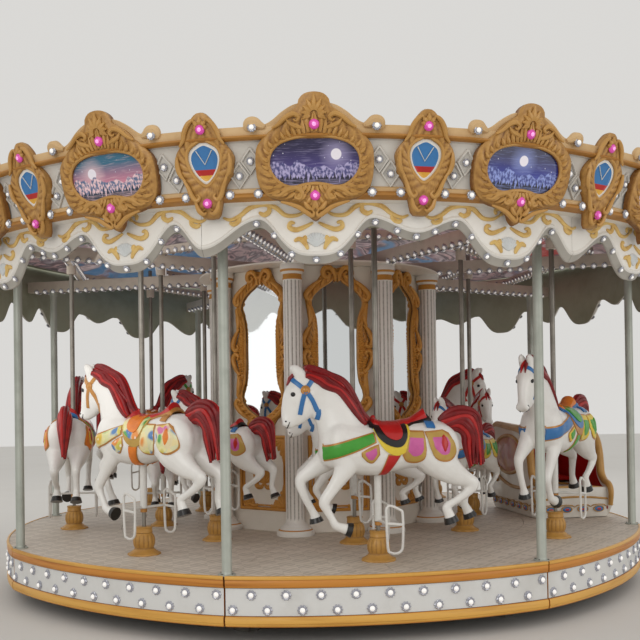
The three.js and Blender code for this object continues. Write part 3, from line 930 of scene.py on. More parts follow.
class Shop:
    """The finishes of the carousel."""

    # hollow colours darken the carving's hollows: painted shade, with patina on the gold.
    gold = Finish("aged_gold", "bd9050", "a0722f", 0.5, 7, 0.4, 0.05, 0.1, hollow="6b3c10")
    carved = Finish("carved_gold", "c98f42", "a8702a", 0.6, 9, 0.42, 0.05, 0.05, hollow="5a2f0c")
    moulding = Finish("moulding_gold", "b07c3a", "925f28", 0.5, 4, 0.4, 0.05, 0.1)
    tan = Finish("tan_edge", "cfae80", "b38c58", 0.5, 4, 0.45)
    pale_gold = Finish("pale_gold_line", "d9b873", "be9350", 0.8, 14, 0.45)
    white = Finish("satin_white", "e6e3dd", "cec9c0", 0.45, 1.6, 0.34, 0.0, 0.25)
    # The frieze white is greyer than the satin white: painted shade on the frieze, which leans out and looks
    # down.
    frieze = Finish("frieze_white", "cdc9c2", "b3aca2", 0.5, 2.2, 0.38, 0.0, 0.2)
    # Grey of the bevel along the canopy's lower edge: painted shade on a face that looks down.
    edge = Finish("grey_edge", "b0aca4", "928d84", 0.4, 3, 0.5)
    inside = Finish("olive_inside", "a7ab96", "83866f", 0.6, 2, 0.7)
    silver = Finish("silver_plastic", "b3b4bd", "8b8e9a", 0.4, 20, 0.26, 0.55)
    shell_grey = Finish("shell_grey", "cdd0d0", "b4b8b9", 0.4, 20, 0.4)
    lamp = Finish("lamp_cap", "f3f1ee", "dcdad8", 0.3, 30, 0.14, 0.0, 0.7, glow=0.3)
    gem = Finish("pink_gem", "d848ac", "b23690", 0.4, 40, 0.12, 0.0, 0.8, glow=0.15)
    gem_core = Finish("pink_gem_core", "f7a2e0", "f090d8", 0.4, 40, 0.1, 0.0, 0.8, glow=0.35)
    blue = Finish("shield_blue", "3b78b2", "2c6098", 0.4, 12, 0.3, 0.0, 0.15)
    red = Finish("signal_red", "b3231f", "931a18", 0.4, 10, 0.32, 0.0, 0.15)
    amber = Finish("amber_yellow", "dba83a", "c68a26", 0.4, 10, 0.35, 0.0, 0.3)
    rim_gold = Finish("rim_gold", "c78434", "a26222", 0.9, 2.2, 0.38, 0.0, 0.1, streak=(0.5, 0.5, 16.0))
    # rim_lip is a lighter gold on the lower band and the top lip; on the top lip it is a painted highlight.
    rim_light = Finish("rim_lip", "daa64e", "bd8634", 0.7, 3, 0.38, 0.0, 0.1, streak=(0.5, 0.5, 9.0))
    rim_white = Finish("rim_white", "d9d9d7", "bcb9b3", 0.5, 2, 0.36, 0.0, 0.2)
    seam = Finish("dark_seam", "2a2622", "1c1916", 0.3, 5, 0.7)
    steel = Finish("brushed_steel", "aeb2a9", "92968d", 0.5, 5, 0.42, 0.3, grain=90.0, bump=0.12,
                   stretch=(1.0, 1.0, 0.04))
    frame_paint = Finish("frame_grey", "68645e", "46423d", 0.6, 4, 0.55, 0.1)
    beam = Finish("beam_grey", "cdc2b5", "a99d90", 0.5, 3, 0.45)
    cream = Finish("tower_cream", "ebe4d9", "d2c8ba", 0.4, 1.4, 0.4, 0.0, 0.15)
    # The column's grey hollow is painted shade in the flutes.
    column = Finish("column_cream", "e9e5df", "cfc8be", 0.4, 1.4, 0.4, 0.0, 0.15, hollow="978f86")
    # The pot's dark hollow is painted shade in its grooves and narrow necks.
    pot = Finish("pot_ochre", "bb8c45", "9c6e30", 0.55, 9, 0.42, 0.05, 0.15, hollow="6e4a20")
    # The tread's third colour is painted shade for turned cells and the gaps between bars.
    tread = Tread("tread_sheet", "e0d5c7", "c8bbab", "8d8274")
    under_steel = Finish("under_steel", "5a5650", "3c3935", 0.6, 4, 0.6, 0.1)
    hull = Finish("hull_white", "dcd7ce", "bfb8ad", 0.45, 3, 0.35, 0.0, 0.3)
    velvet = Finish("chariot_velvet", "a61613", "7c0f0d", 0.4, 8, 0.35, 0.0, 0.3)
    rose = Finish("rose_panel", "a4453a", "b98144", 1.0, 5, 0.35, 0.0, 0.3)
    quilt = Finish("quilted_red", "b81c18", "8c100d", 0.5, 9, 0.42, 0.0, 0.1)
    canvas = Finish("roof_canvas_cloth", "cfcac4", "b3aea8", 0.5, 1.5, 0.75)
    mirror = Finish("mirror_glass", "e6eaec", "dde2e4", 0.1, 1.0, 0.02, 1.0, bump=0.0)
    coats = {
        "ivory": Finish("ivory_body", "e6e4e0", "cfcac2", 0.4, 4, 0.28, 0.0, 0.25),
        "black": Finish("black_paint", "171514", "24211f", 0.4, 12, 0.3, 0.0, 0.4),
        "maroon": Finish("maroon_paint", "7c1014", "45070a", 0.6, 16, 0.42, 0.0, 0.12),
        "crimson": Finish("crimson_paint", "ae1e1c", "74100f", 0.5, 16, 0.4, 0.0, 0.15),
        "orange": Finish("orange_paint", "df7c22", "b85a14", 0.5, 14, 0.34, 0.0, 0.3),
        "blue": Finish("blue_paint", "3571ab", "27568c", 0.4, 14, 0.3, 0.0, 0.2),
        "green": Finish("green_paint", "459a34", "2f8028", 0.4, 14, 0.3, 0.0, 0.2),
        "yellow": Finish("yellow_paint", "dcc23c", "c4a030", 0.4, 14, 0.3, 0.0, 0.2),
        "ochre": Finish("ochre_paint", "b8954a", "a07b34", 0.4, 14, 0.35, 0.0, 0.2),
        "red": Finish("red_paint", "b51f1d", "901414", 0.4, 14, 0.28, 0.0, 0.25),
        "pink": Finish("pink_paint", "c8609c", "b04a86", 0.4, 14, 0.3, 0.0, 0.2),
        "floral": Floral("floral_cloth"),
        "gold": Finish("gold_paint", "b98240", "9a6428", 0.5, 12, 0.35, 0.25, 0.3),
        "steel": Finish("pole_steel", "8f8a82", "6d6962", 0.5, 6, 0.35, 0.8, stretch=(1.0, 1.0, 0.04)),
        "bracket": Finish("bracket_white", "d9d7d2", "bdb9b2", 0.4, 10, 0.35, 0.0, 0.3),
    }
    pictures = (
        Picture("night_indigo", "221b45", "4a3f86", "b3abd6", "4b4a80", "191430"),
        Picture("evening_rose", "2f6a86", "d7849c", "f0cdd3", "5d6f93", "22324a", (0.28, 0.6)),
        Picture("night_blue", "14164c", "2f3aa0", "8f9fe0", "3b4690", "0f0f2c", (0.5, 0.7)),
    )


def facing(spot: Vector, out: Vector, scale: float = 1.0) -> Matrix:
    """Gives the matrix that seats a small part on a surface.

    Args:
        spot: the point on the surface.
        out: the direction that the part's own Z takes.
        scale: size factor.

    Returns:
        The matrix for the part.
    """
    axis = out.normalized()
    up = Vector((0, 0, 1)) if abs(axis.z) < 0.9 else Vector((0, 1, 0))
    across = up.cross(axis).normalized()
    matrix = Matrix((across, axis.cross(across), axis)).transposed() * scale
    matrix = matrix.to_4x4()
    matrix.translation = spot
    return matrix


class Fittings:
    """Small repeated parts: lamps and gems."""

    @staticmethod
    def lamp(name: str, sides: int = 20) -> Piece:
        """Lamp of 60 mm: a silver petal collar with a domed white cap, facing its own Z.

        Args:
            name: name of the object.
            sides: faces round it.

        Returns:
            The object.
        """
        profile = [(0, -4), (29, -4), (30, 5), (24, 10), (18, 8), (17, 12), (13, 19), (7, 23), (0, 24)]

        def petal(angle: float, t: float) -> float:
            """Waves in the collar."""
            return 1.0 + (0.1 * cos(sides / 2 * angle) if 0.1 < t < 0.4 else 0.0)

        lamp = Bench.turned(name, profile, sides, 50, petal, lambda s, t: int(t > 0.6))
        return Bench.paint(lamp, Shop.silver, Shop.lamp)

    @staticmethod
    def gem(name: str) -> Piece:
        """Pink faceted lamp of 60 mm with a pale heart, facing its own Z.

        Args:
            name: name of the object.

        Returns:
            The object.
        """
        profile = [(0, -4), (28, -4), (30, 3), (27, 9), (20, 15), (12, 19), (0, 21)]
        gem = Bench.turned(name, profile, 12, 20, None, lambda s, t: int(t > 0.8))
        return Bench.paint(gem, Shop.gem, Shop.gem_core)


@dataclass
class Medallion:
    """Carved gold frame that stands on the leaning front of the canopy.

    Outlines are the right halves of mirrored shapes: distance from the middle and height.
    """

    name: str
    outer: Points
    inner: Points
    centre: float
    leaves: float
    picture: Surface
    columns: int = 120
    rows: int = 18
    foot: float = 3040.0
    lean: float = 0.3
    lean_from: float = 2592.0
    metal: Finish = Shop.gold

    def spot(self, across: float, height: float, out: float) -> Vector:
        """Point of the leaning plane at angle 0."""
        depth = self.foot + self.lean * (height - self.lean_from) + out
        return Vector((across, -depth, height)) * MM

    def ring_spot(self, angle: float, radius: float, out: float) -> Vector:
        """Point of the leaning plane at an angle from the top and a radius from the centre."""
        return self.spot(radius * sin(angle), self.centre + radius * cos(angle), out)

    def reach(self, half: Points) -> tuple[np.ndarray, np.ndarray]:
        """Turns a half outline into radius against the angle from the top.

        Args:
            half: right half of a mirrored outline.

        Returns:
            Angles in rising order, and the radius at each.
        """
        left = [(-x, z) for x, z in reversed(half) if x > 0]
        loop = curve_through([*half, *left], 8, closed=True)
        angles = np.array([math.atan2(x, z - self.centre) for x, z in loop])
        radii = np.array([math.hypot(x, z - self.centre) for x, z in loop])
        order = np.argsort(angles)
        return angles[order], radii[order]

    def ray(self, table: tuple[np.ndarray, np.ndarray], angle: float) -> float:
        """Radius of an outline at an angle from the top."""
        wrapped = (angle + pi) % (2 * pi) - pi
        return float(np.interp(wrapped, table[0], table[1], period=2 * pi))

    def leaf(self, angle: float, share: float) -> float:
        """Height of the carved leaves, 0 in a groove and 1 on a ridge.

        Args:
            angle: angle from the top in radians.
            share: share of the way out.

        Returns:
            The height.
        """
        aside = abs((angle + pi) % (2 * pi) - pi) / pi
        fold = abs(sin(pi * (self.leaves * aside + 1.3 * share)))
        vein = 0.5 + 0.5 * cos(2 * pi * (3 * self.leaves * aside - 2.5 * share))
        return min(1.0, 0.82 * fold ** 0.55 + 0.18 * vein)

    def frame(self) -> Piece:
        """Carved ring between the two outlines.

        Returns:
            The object.
        """
        outer, inner = self.reach(self.outer), self.reach(self.inner)

        def shares(s: float, t: float) -> tuple[float, float]:
            """Angle from the top, and share of the way out across the ring."""
            return 2 * pi * s, min(max((t - 0.1) / 0.8, 0.0), 1.0)

        def place(s: float, t: float) -> Vector:
            """Point of the ring, swollen and cut by its leaves.

            Args:
                s: share of the first direction.
                t: share of the second direction.

            Returns:
                The point in metres.
            """
            angle, share = shares(s, t)
            low, high = self.ray(inner, angle), self.ray(outer, angle)
            wave = self.leaf(angle, share * (high - low) / 75) - 0.5
            wave *= 1 - 0.7 * max(0.0, share - 0.65) / 0.35
            edge = sin(pi * share) ** 0.5
            radius = low + (high + 7 * wave * share - low) * share
            out = 22 + 16 * edge + 8 * wave * edge
            if t < 0.1:
                out = 5 + (out - 5) * t / 0.1
            elif t > 0.9:
                out = out - (out + 18) * (t - 0.9) / 0.1
            return self.ring_spot(angle, radius, out)

        def relief(s: float, t: float) -> float:
            """Light ridges and dark grooves of the leaves; the grooves are painted shade with patina.

            Args:
                s: share of the first direction.
                t: share of the second direction.

            Returns:
                The relief.
            """
            angle, share = shares(s, t)
            width = self.ray(outer, angle) - self.ray(inner, angle)
            plain = max(0.0, share - 0.65) / 0.35
            height = self.leaf(angle, share * width / 75) * (1 - plain) + 0.75 * plain
            # The tucked-in inner and outer edges are painted darker, as shade.
            return height * (0.3 if t < 0.12 or t > 0.93 else 1.0)

        def soft(s: float, t: float) -> float:
            """The relief with less contrast."""
            return 0.05 + 0.8 * relief(s, t)

        ring = Bench.skin(self.name + "_ring", self.columns, self.rows, place, relief=soft, sharp=80)
        return Bench.paint(ring, self.metal)

    def leaves_ring(self, spots: int, size: float = 0.0105, fineness: int = 1) -> Piece:
        """Two rows of slanted acanthus leaves round the frame, mirrored about the middle.

        Args:
            spots: leaves on one half.
            size: radius of the leaves in metres.
            fineness: steps round the bar.

        Returns:
            The object.
        """
        outer, inner = self.reach(self.outer), self.reach(self.inner)
        paths = []
        for number in range(spots):
            start = pi * (number + 0.5) / spots
            rows = ((0.12, 0.5, -0.07), (0.5, 0.9, -0.11)) if start > 1.9 else ((0.12, 0.55, -0.07),)
            for near, far, sweep in rows:
                for side in (1, -1):
                    path = []
                    for step in range(6):
                        part = step / 5
                        angle = side * (start + (far == 0.9) * 0.5 * pi / spots + sweep * part ** 1.5)
                        share = near + (far - near) * part
                        low, high = self.ray(inner, angle), self.ray(outer, angle)
                        radius = low + (high - low) * share
                        out = 27 + 16 * sin(pi * share) ** 0.5
                        path.append((*self.ring_spot(angle, radius, out), 0.35 + 0.85 * swell(part + 0.12)))
                    paths.append(path)
        bars = Bench.tubes(self.name + "_leaves", paths, size, fineness)
        return Bench.paint(bars, self.metal)

    def palmette(self, foot: float, reach: float, leaves: int = 7, spread: float = 150.0) -> Piece:
        """Fan of leaves that rises from a height on the middle line.

        Args:
            foot: height where it starts.
            reach: length of the middle leaf.
            leaves: number of leaves.
            spread: angle of the whole fan.

        Returns:
            The object.
        """
        paths = []
        for number in range(leaves):
            turn = math.radians(spread * (number / (leaves - 1) - 0.5))
            length = reach * (1 - 0.35 * abs(sin(turn)))
            path = []
            for step in range(6):
                part = step / 5
                along_leaf = 22 + (length - 22) * part
                curl = turn * (1 + 0.15 * part)
                spot = self.spot(along_leaf * sin(curl), foot + along_leaf * cos(curl), 44)
                path.append((*spot, 0.4 + 0.9 * swell(part + 0.15)))
            paths.append(path)
        bars = Bench.tubes(self.name + "_palmette", paths, 0.0135, 1)
        return Bench.paint(bars, self.metal)

    def rope(self) -> Piece:
        """Round bead at the opening.

        Returns:
            The object.
        """
        inner = self.reach(self.inner)
        count = round(1.2 * self.columns)
        path = []
        for step in range(count):
            angle = 2 * pi * step / count
            radius = self.ray(inner, angle) + 9
            path.append(self.ring_spot(angle, radius, 28))
        rope = Bench.tubes(self.name + "_rope", [path], 0.011, 2, closed=True)
        return Bench.paint(rope, self.metal)

    def panel(self) -> Piece:
        """Flat picture behind the opening, with its own map.

        Returns:
            The object.
        """
        inner = self.reach(self.inner)

        def place(s: float, t: float) -> Vector:
            """Point of a disc that fills the opening.

            Args:
                s: share of the first direction.
                t: share of the second direction.

            Returns:
                The point in metres.
            """
            angle = 2 * pi * s
            radius = (self.ray(inner, angle) + 8) * t
            return self.ring_spot(angle, radius, 14)

        disc = Bench.skin(self.name + "_picture", 48, 6, place)
        chart = disc.data.uv_layers.new(name=PATTERN)
        half = max(x for x, _ in self.inner)
        low, high = min(z for _, z in self.inner), max(z for _, z in self.inner)
        for loop in disc.data.loops:
            co = disc.data.vertices[loop.vertex_index].co / MM
            chart.data[loop.index].uv = (0.5 + co.x / (2 * half), (co.z - low) / (high - low))
        return Bench.paint(disc, self.picture)

    def backing(self, crest: Points, foot: float) -> Piece:
        """Tan board that sweeps up behind the frame from the top edge of the canopy.

        Args:
            crest: right half of the top edge.
            foot: height where it starts.

        Returns:
            The board.
        """
        line = curve_through([(-x, z) for x, z in reversed(crest) if x > 0] + list(crest), 6)

        def place(s: float, t: float) -> Vector:
            """Point round the board below its sweeping top.

            Args:
                s: share of the first direction.
                t: share of the second direction.

            Returns:
                The point in metres.
            """
            x, top = along(line, s)
            height, out = ((foot, -20), (top - 4, -20), (top, -16), (top, 4), (top - 4, 8), (foot, 8),
                           (foot, -20))[round(t * 6)]
            return self.spot(x, height, out)

        board = Bench.skin(self.name + "_backing", len(line) - 1, 6, place, cap=True)
        return Bench.paint(board, Shop.tan)

    def scrolls(self, curls: Sequence[Points], size: float = 0.012) -> Piece:
        """Raised scrolls over the carving, mirrored left and right.

        Args:
            curls: key points of the scrolls on the right.
            size: radius of the bars in metres.

        Returns:
            The object.
        """
        paths = []
        for curl in curls:
            for side in (1, -1):
                paths.append(swept(curl, 5, lambda x, z: self.spot(side * x, z, 46),
                                   lambda share: 0.45 + 0.75 * swell(share * 1.1)))
        bars = Bench.tubes(self.name + "_scrolls", paths, size, 2)
        return Bench.paint(bars, self.metal)


@dataclass
class Crown:
    """Scalloped, ornamented canopy front: eight panels, each with two ovals and two shields."""

    valance: float = 2950.0
    inner: float = 2901.0
    lobe_bottom: float = 2242.0
    middle_bottom: float = 2375.0
    seam_bottom: float = 2300.0
    arch_top: float = 2455.0
    lobe_centre: float = 11.25
    arch: float = 5.0
    fullness: float = 1.6
    seam_shift: float = 1.6
    turn: float = 1.25
    oval: Points = (
        (0, 2469), (38, 2496), (60, 2532), (108, 2556), (180, 2572), (262, 2598), (309, 2655), (324, 2753),
        (310, 2854), (222, 2942), (176, 2990), (122, 3026), (92, 3044), (84, 3076), (54, 3106), (0, 3118),
    )
    oval_hole: Points = (
        (0, 2664), (50, 2658), (100, 2646), (150, 2648), (200, 2676), (236, 2722), (245, 2770), (228, 2822),
        (180, 2862), (100, 2884), (0, 2890),
    )
    shield: Points = (
        (0, 2496), (42, 2501), (58, 2522), (74, 2573), (98, 2645), (118, 2682), (150, 2722), (160, 2770),
        (167, 2818), (142, 2862), (115, 2890), (98, 2931), (74, 2987), (34, 3034), (0, 3043),
    )
    shield_hole: Points = ((0, 2673), (42, 2702), (76, 2752), (92, 2806), (80, 2850), (45, 2876), (0, 2893))
    lobe_lamps: tuple[float, ...] = (0.0, 2.7, 4.6, 6.6)
    middle_lamps: tuple[float, ...] = (-2.2, 0.0, 2.2)
    picture_order: str = "0210210210210201"

    def edge(self, angle: float) -> float:
        """Height of the scalloped lower edge at an angle from the middle shield.

        Args:
            angle: angle from the middle shield.

        Returns:
            The height.
        """
        offset = abs(angle)
        to_big = abs(offset - self.lobe_centre) / (self.lobe_centre - self.arch)
        if to_big <= 1:
            return self.lobe(self.lobe_bottom, to_big ** self.fullness)
        if offset < self.lobe_centre:
            return self.lobe(self.middle_bottom, offset / self.arch)
        seam = HALF_PANEL + self.seam_shift * (1 if angle < 0 else -1)
        return self.lobe(self.seam_bottom, (seam - offset) / (seam - 2 * self.lobe_centre + self.arch))

    def lobe(self, lowest: float, share: float) -> float:
        """Height in a lobe from its lowest point, share 0, to the arch beside it, share 1."""
        return lowest + (self.arch_top - lowest) * (1 - cos(pi * share)) / 2

    def section(self, low: float) -> list[tuple[float, float, int]]:
        """Closed outline of radius, height and material slot above a lower edge.

        Args:
            low: height of the lower edge.

        Returns:
            Radius, height and material slot of every point.
        """
        # Slot 1, the bevel along the lower edge, is painted grey as shade.
        face, back = self.valance, self.inner
        return [
            (back, low + 2, 1), (face - 36, low, 1), (face - 32, low + 4, 1), (face - 3, low + 40, 0),
            (face + 5, low + 44, 0), (face + 9, low + 52, 0), (face + 6, low + 60, 0), (face, low + 66, 0),
            (face, low + 100, 0), (face, 2562, 0), (face + 8, 2574, 0), (face + 50, 2586, 2),
            (face + 104, 2590, 2), (face + 118, 2597, 2), (face + 121, 2607, 2), (face + 116, 2617, 2),
            (face + 106, 2622, 3), (face + 108, 2630, 3), (face + 110, 2640, 3), (face + 102, 2648, 3),
            (face + 96, 2650, 4), (face + 110, 2700, 4), (face + 143, 2800, 4), (face + 172, 2884, 4),
            (face + 190, 2887, 2), (face + 216, 2889, 2), (face + 226, 2897, 2), (face + 222, 2907, 2),
            (face + 210, 2911, 3), (face + 213, 2920, 3), (face + 219, 2945, 3), (face + 214, 2956, 3),
            (face + 196, 2960, 3), (face + 180, 2950, 5), (face + 155, 2935, 5), (back, 2640, 5),
            (back, 2450, 5), (back, low + 2, 5),
        ]

    def body(self) -> Piece:
        """Skin of one panel with its mouldings.

        Returns:
            The object.
        """
        left = -HALF_PANEL - self.seam_shift + 0.02
        right = HALF_PANEL - self.seam_shift - 0.02
        rows = len(self.section(0)) - 1
        slots = [slot for _, _, slot in self.section(self.lobe_bottom)]

        def place(s: float, t: float) -> Vector:
            """Point of the section above the scalloped edge.

            Args:
                s: share of the first direction.
                t: share of the second direction.

            Returns:
                The point in metres.
            """
            angle = left + (right - left) * s
            radius, height, _ = self.section(self.edge(angle))[round(t * rows)]
            return polar(radius * MM, angle, height * MM)

        skin = Bench.skin(
            "crown_skin", 120, rows, place, tint=lambda s, t: slots[int(t * rows)], sharp=38, cap=True,
        )
        # The frieze's greyer white is painted shade.
        finishes = (Shop.white, Shop.edge, Shop.moulding, Shop.tan, Shop.frieze, Shop.inside)
        return Bench.paint(skin, *finishes)

    def on_valance(self, across: float, height: float, out: float) -> Vector:
        """Point over the valance, counted in millimetres round from an oval's middle."""
        angle = math.degrees(across / self.valance)
        return polar((self.valance + out) * MM, angle, height * MM)

    def valance_relief(self) -> list[Piece]:
        """Scroll lines, two leaves and a shell below one oval.

        Returns:
            The scrolls and the shell.
        """
        lines = [
            ((58, 2535), (105, 2512), (170, 2514), (222, 2556), (268, 2576), (318, 2578), (378, 2560),
             (432, 2520), (488, 2500), (530, 2514)),
            ((15, 2470), (62, 2446), (112, 2430), (148, 2444), (142, 2470), (118, 2468)),
            ((58, 2535), (30, 2560), (50, 2580), (84, 2566), (80, 2540)),
            ((268, 2576), (262, 2540), (292, 2520), (322, 2536)),
            ((432, 2520), (440, 2488), (470, 2474), (492, 2486)),
        ]
        leaves = [((46, 2318), (62, 2352), (92, 2378), (124, 2366)), ((62, 2352), (58, 2378), (70, 2394))]
        paths = []
        for line in [*lines, *leaves]:
            for side in (1, -1):
                paths.append(swept(line, 6, lambda x, z: self.on_valance(side * x, z, 2),
                                   lambda share: 0.35 + 0.75 * swell(share) ** 0.6))
        scrolls = Bench.paint(Bench.tubes("valance_scrolls", paths, 0.0145, 1), Shop.pale_gold)
        ribs = []
        for rib in range(-4, 5):
            turn = math.radians(rib * 13)
            ribs.append([(*self.on_valance(reach * sin(turn), 2332 + reach * cos(turn), 3), size)
                         for reach, size in ((4, 0.3), (42, 0.7), (72, 1.0), (80, 0.6))])
        shell = Bench.paint(Bench.tubes("valance_shell", ribs, 0.012, 2), Shop.shell_grey)
        return [scrolls, shell]

    def edge_lamps(self) -> list[Matrix]:
        """Places of the lamps on the bevel of the lower edge, for one panel.

        Returns:
            Their places.
        """
        angles = list(self.middle_lamps)
        for middle in (-self.lobe_centre, self.lobe_centre):
            for offset in self.lobe_lamps:
                angles += [middle + side * offset for side in ((1, -1) if offset else (1,))]
        return [facing(polar((self.valance - 12) * MM, angle, (self.edge(angle) + 20) * MM),
                       polar(1, angle, -0.85), 0.7) for angle in angles]

    def lean_spot(self, across: float, height: float, out: float) -> Vector:
        """Point over the leaning frieze, counted round from an oval's middle."""
        radius = self.valance + 100 + (height - 2650) * 0.312 + out
        return polar(radius * MM, math.degrees(across / radius), height * MM)

    def diamonds(self) -> Part:
        """Interlocked raised diamonds beside an oval, and the places of their small lamps.

        Returns:
            The diamonds and the places.
        """
        paths, places = [], []
        for side in (1, -1):
            for across, height in ((356, 2788), (420, 2715)):
                x = side * across
                loop = [(x, height + 66), (x + 50, height), (x, height - 66), (x - 50, height),
                        (x, height + 66)]
                paths.append([self.lean_spot(a, h, 3) for a, h in loop])
                out = polar(1, math.degrees(x / 3100), -0.3)
                places.append(facing(self.lean_spot(x, height, 2), out, 0.72))
        # The diamonds take the frieze's greyer white, painted shade.
        bars = Bench.paint(Bench.tubes("diamonds", paths, 0.008, 1), Shop.frieze)
        return bars, places

    def knobs(self) -> Part:
        """Tan rolls on the top edge, and the places of their lamps.

        Returns:
            The rolls and the places.
        """
        rolls, places = [], []
        for side in (1, -1):
            x = side * 338
            curl = [
                (x - side * 70, 2948), (x - side * 42, 2958), (x - side * 12, 2974), (x + side * 16, 2970),
                (x + side * 24, 2948), (x + side * 8, 2934),
            ]
            rolls.append(swept(curl, 5, lambda across, height: self.lean_spot(across, height, 30),
                               lambda share: 0.5 + 0.9 * swell(share)))
            places.append(facing(self.lean_spot(x, 2942, 52), polar(1, math.degrees(x / 3100), -0.15), 0.84))
        rolls_piece = Bench.paint(Bench.tubes("knobs", rolls, 0.022, 2), Shop.tan)
        return rolls_piece, places

    def moulding_lamps(self) -> list[Matrix]:
        """Places of the lamps on the lower moulding, beside an oval and beside the shields.

        Returns:
            Their places.
        """
        places = []
        for across in (-475, -314, 314, 475):
            out = polar(1, math.degrees(across / 3070), -0.1)
            spot = polar(3072 * MM, math.degrees(across / 3070), 2612 * MM)
            places.append(facing(spot, out, 0.86))
        return places

    def shield_panel(self, medal: Medallion) -> Piece:
        """Striped field of a shield: blue above, then red and amber, with a white border.

        Args:
            medal: frame that the field fills.

        Returns:
            The object.
        """
        inner = medal.reach(self.shield_hole)
        white, blue, red, amber = 0, 1, 2, 3

        def place(s: float, t: float) -> Vector:
            """Point of the field, a little raised at its border.

            Args:
                s: share of the first direction.
                t: share of the second direction.

            Returns:
                The point in metres.
            """
            angle = 2 * pi * s
            radius = medal.ray(inner, angle) * t
            height = self.round_band(medal.centre + radius * cos(angle), t)
            return medal.spot(radius * sin(angle), height, 15 if t < 0.83 else 20)

        disc = Bench.skin("shield_field", 64, 12, place)
        for face in disc.data.polygons:
            height = face.center.z / MM
            reach = Vector((face.center.x / MM, height - medal.centre)).length
            angle = math.atan2(face.center.x / MM, height - medal.centre)
            slot = blue if height > 2752 else (red if height > 2722 else amber)
            face.material_index = white if reach > 0.83 * medal.ray(inner, angle) else slot
        chevron = [[medal.spot(x, z, 18) for x, z in ((-46, 2850), (0, 2778), (46, 2850))]]
        strokes = Bench.tubes("shield_chevron", chevron, 0.0035, 1)
        Bench.paint(strokes, Shop.shell_grey)
        finishes = (Shop.white, Shop.blue, Shop.red, Shop.amber)
        Bench.paint(disc, *finishes)
        return Bench.gather("shield_panel", Bench.once(disc, strokes))

    def round_band(self, height: float, share: float) -> float:
        """Pulls the heights of the field onto the straight edges of its bands.

        Args:
            height: height of the point.
            share: share of the way out.

        Returns:
            The height.
        """
        for line in (2752.0, 2722.0):
            if abs(height - line) < 9 and share < 0.83:
                return line
        return height

    def shield_medal(self) -> tuple[Medallion, list[Piece]]:
        """Shield with its frame, rope, field and scrolls.

        Returns:
            The frame and all parts.
        """
        medal = Medallion("shield", self.shield, self.shield_hole, 2780, 9, Shop.blue, columns=88, rows=14)
        curls = [((128, 2868), (104, 2900), (92, 2940), (66, 2980), (38, 2996), (30, 2974)),
                 ((150, 2820), (152, 2770), (140, 2724), (112, 2690)),
                 ((128, 2706), (104, 2660), (84, 2610), (60, 2588), (42, 2604), (54, 2620)),
                 ((70, 2590), (56, 2540), (30, 2516), (10, 2524))]
        parts = [medal.frame(), medal.rope(), self.shield_panel(medal), medal.scrolls(curls),
                 medal.palmette(2950, 62, 5, 130), medal.palmette(2545, 30, 5, 200)]
        return medal, parts

    def oval_medal(self, picture: Picture) -> tuple[Medallion, list[Piece]]:
        """Oval with its frame, rope, picture, backing board and scrolls.

        Args:
            picture: what the opening shows.

        Returns:
            The frame and all parts.
        """
        medal = Medallion("oval", self.oval, self.oval_hole, 2770, 14, picture)
        curls = [((228, 2930), (190, 2952), (150, 2986), (110, 3000), (84, 2984), (96, 2966), (112, 2974)),
                 ((60, 2930), (92, 2938), (128, 2952), (150, 2976)),
                 ((236, 2596), (196, 2594), (150, 2622), (104, 2630), (72, 2606), (84, 2576), (110, 2582),
                  (104, 2602)),
                 ((190, 2560), (140, 2548), (90, 2530), (50, 2504), (20, 2486), (8, 2500), (20, 2520)),
                 ((60, 2560), (40, 2530), (14, 2516))]
        crest = ((0, 3070), (60, 3068), (118, 3056), (176, 3024), (226, 2986), (270, 2964), (326, 2958))
        parts = [medal.frame(), medal.rope(), medal.panel(), medal.backing(crest, 2930), medal.scrolls(curls),
                 medal.leaves_ring(21), medal.palmette(2996, 100, 9, 190)]
        return medal, parts

    def build(self) -> None:
        """Builds the eight panels with their ornaments and lamps."""
        lamp = Fittings.lamp("crown_lamp")
        gem = Fittings.gem("crown_gem")
        ovals = []
        for number, picture in enumerate(Shop.pictures):
            medal, parts = self.oval_medal(picture)
            gems = [facing(medal.spot(0, z, 44), Vector((0, -1, -0.3)), 0.95) for z in (2950, 2592)]
            twin = Bench.copy(gem, "oval_gem", Matrix())
            ovals.append(Bench.gather(f"oval_{number}", [*Bench.once(*parts), (twin, gems)]))
        medal, parts = self.shield_medal()
        gems = [facing(medal.spot(0, z, 46), Vector((0, -1, -0.3)), 0.92) for z in (2948, 2570)]
        shield = Bench.gather("shield_all", [*Bench.once(*parts), (gem, gems)])
        bars, small = self.diamonds()
        rolls, round_lamps = self.knobs()
        lamps = [*small, *round_lamps, *self.moulding_lamps()]
        trims = Bench.once(*self.valance_relief(), bars, rolls)
        edge_row = Bench.gather("edge_row", [(Bench.copy(lamp, "edge_lamp", Matrix()), self.edge_lamps())])
        module = Bench.gather("crown_module", [*trims, (lamp, lamps)])
        body = self.body()
        halves = [turn_about_axis(-self.lobe_centre), turn_about_axis(self.lobe_centre)]
        shields = [turn_about_axis(-HALF_PANEL), Matrix()]
        for panel in range(PANELS):
            first, second = (ovals[int(choice)] for choice in self.picture_order[2 * panel:2 * panel + 2])
            piece = Bench.gather(f"canopy_panel_{panel + 1}", [
                (body, [Matrix()]), (edge_row, [Matrix()]), (module, halves), (shield, shields),
                (first, halves[:1]), (second, halves[1:]),
            ], keep=True)
            Bench.moved(piece, turn_about_axis(panel * PANEL_ANGLE + self.turn))
            Bench.mount(piece, "platform", "crown_shell", f"crown_{panel + 1}")
        Bench.drop(body, edge_row, module, shield, *ovals)


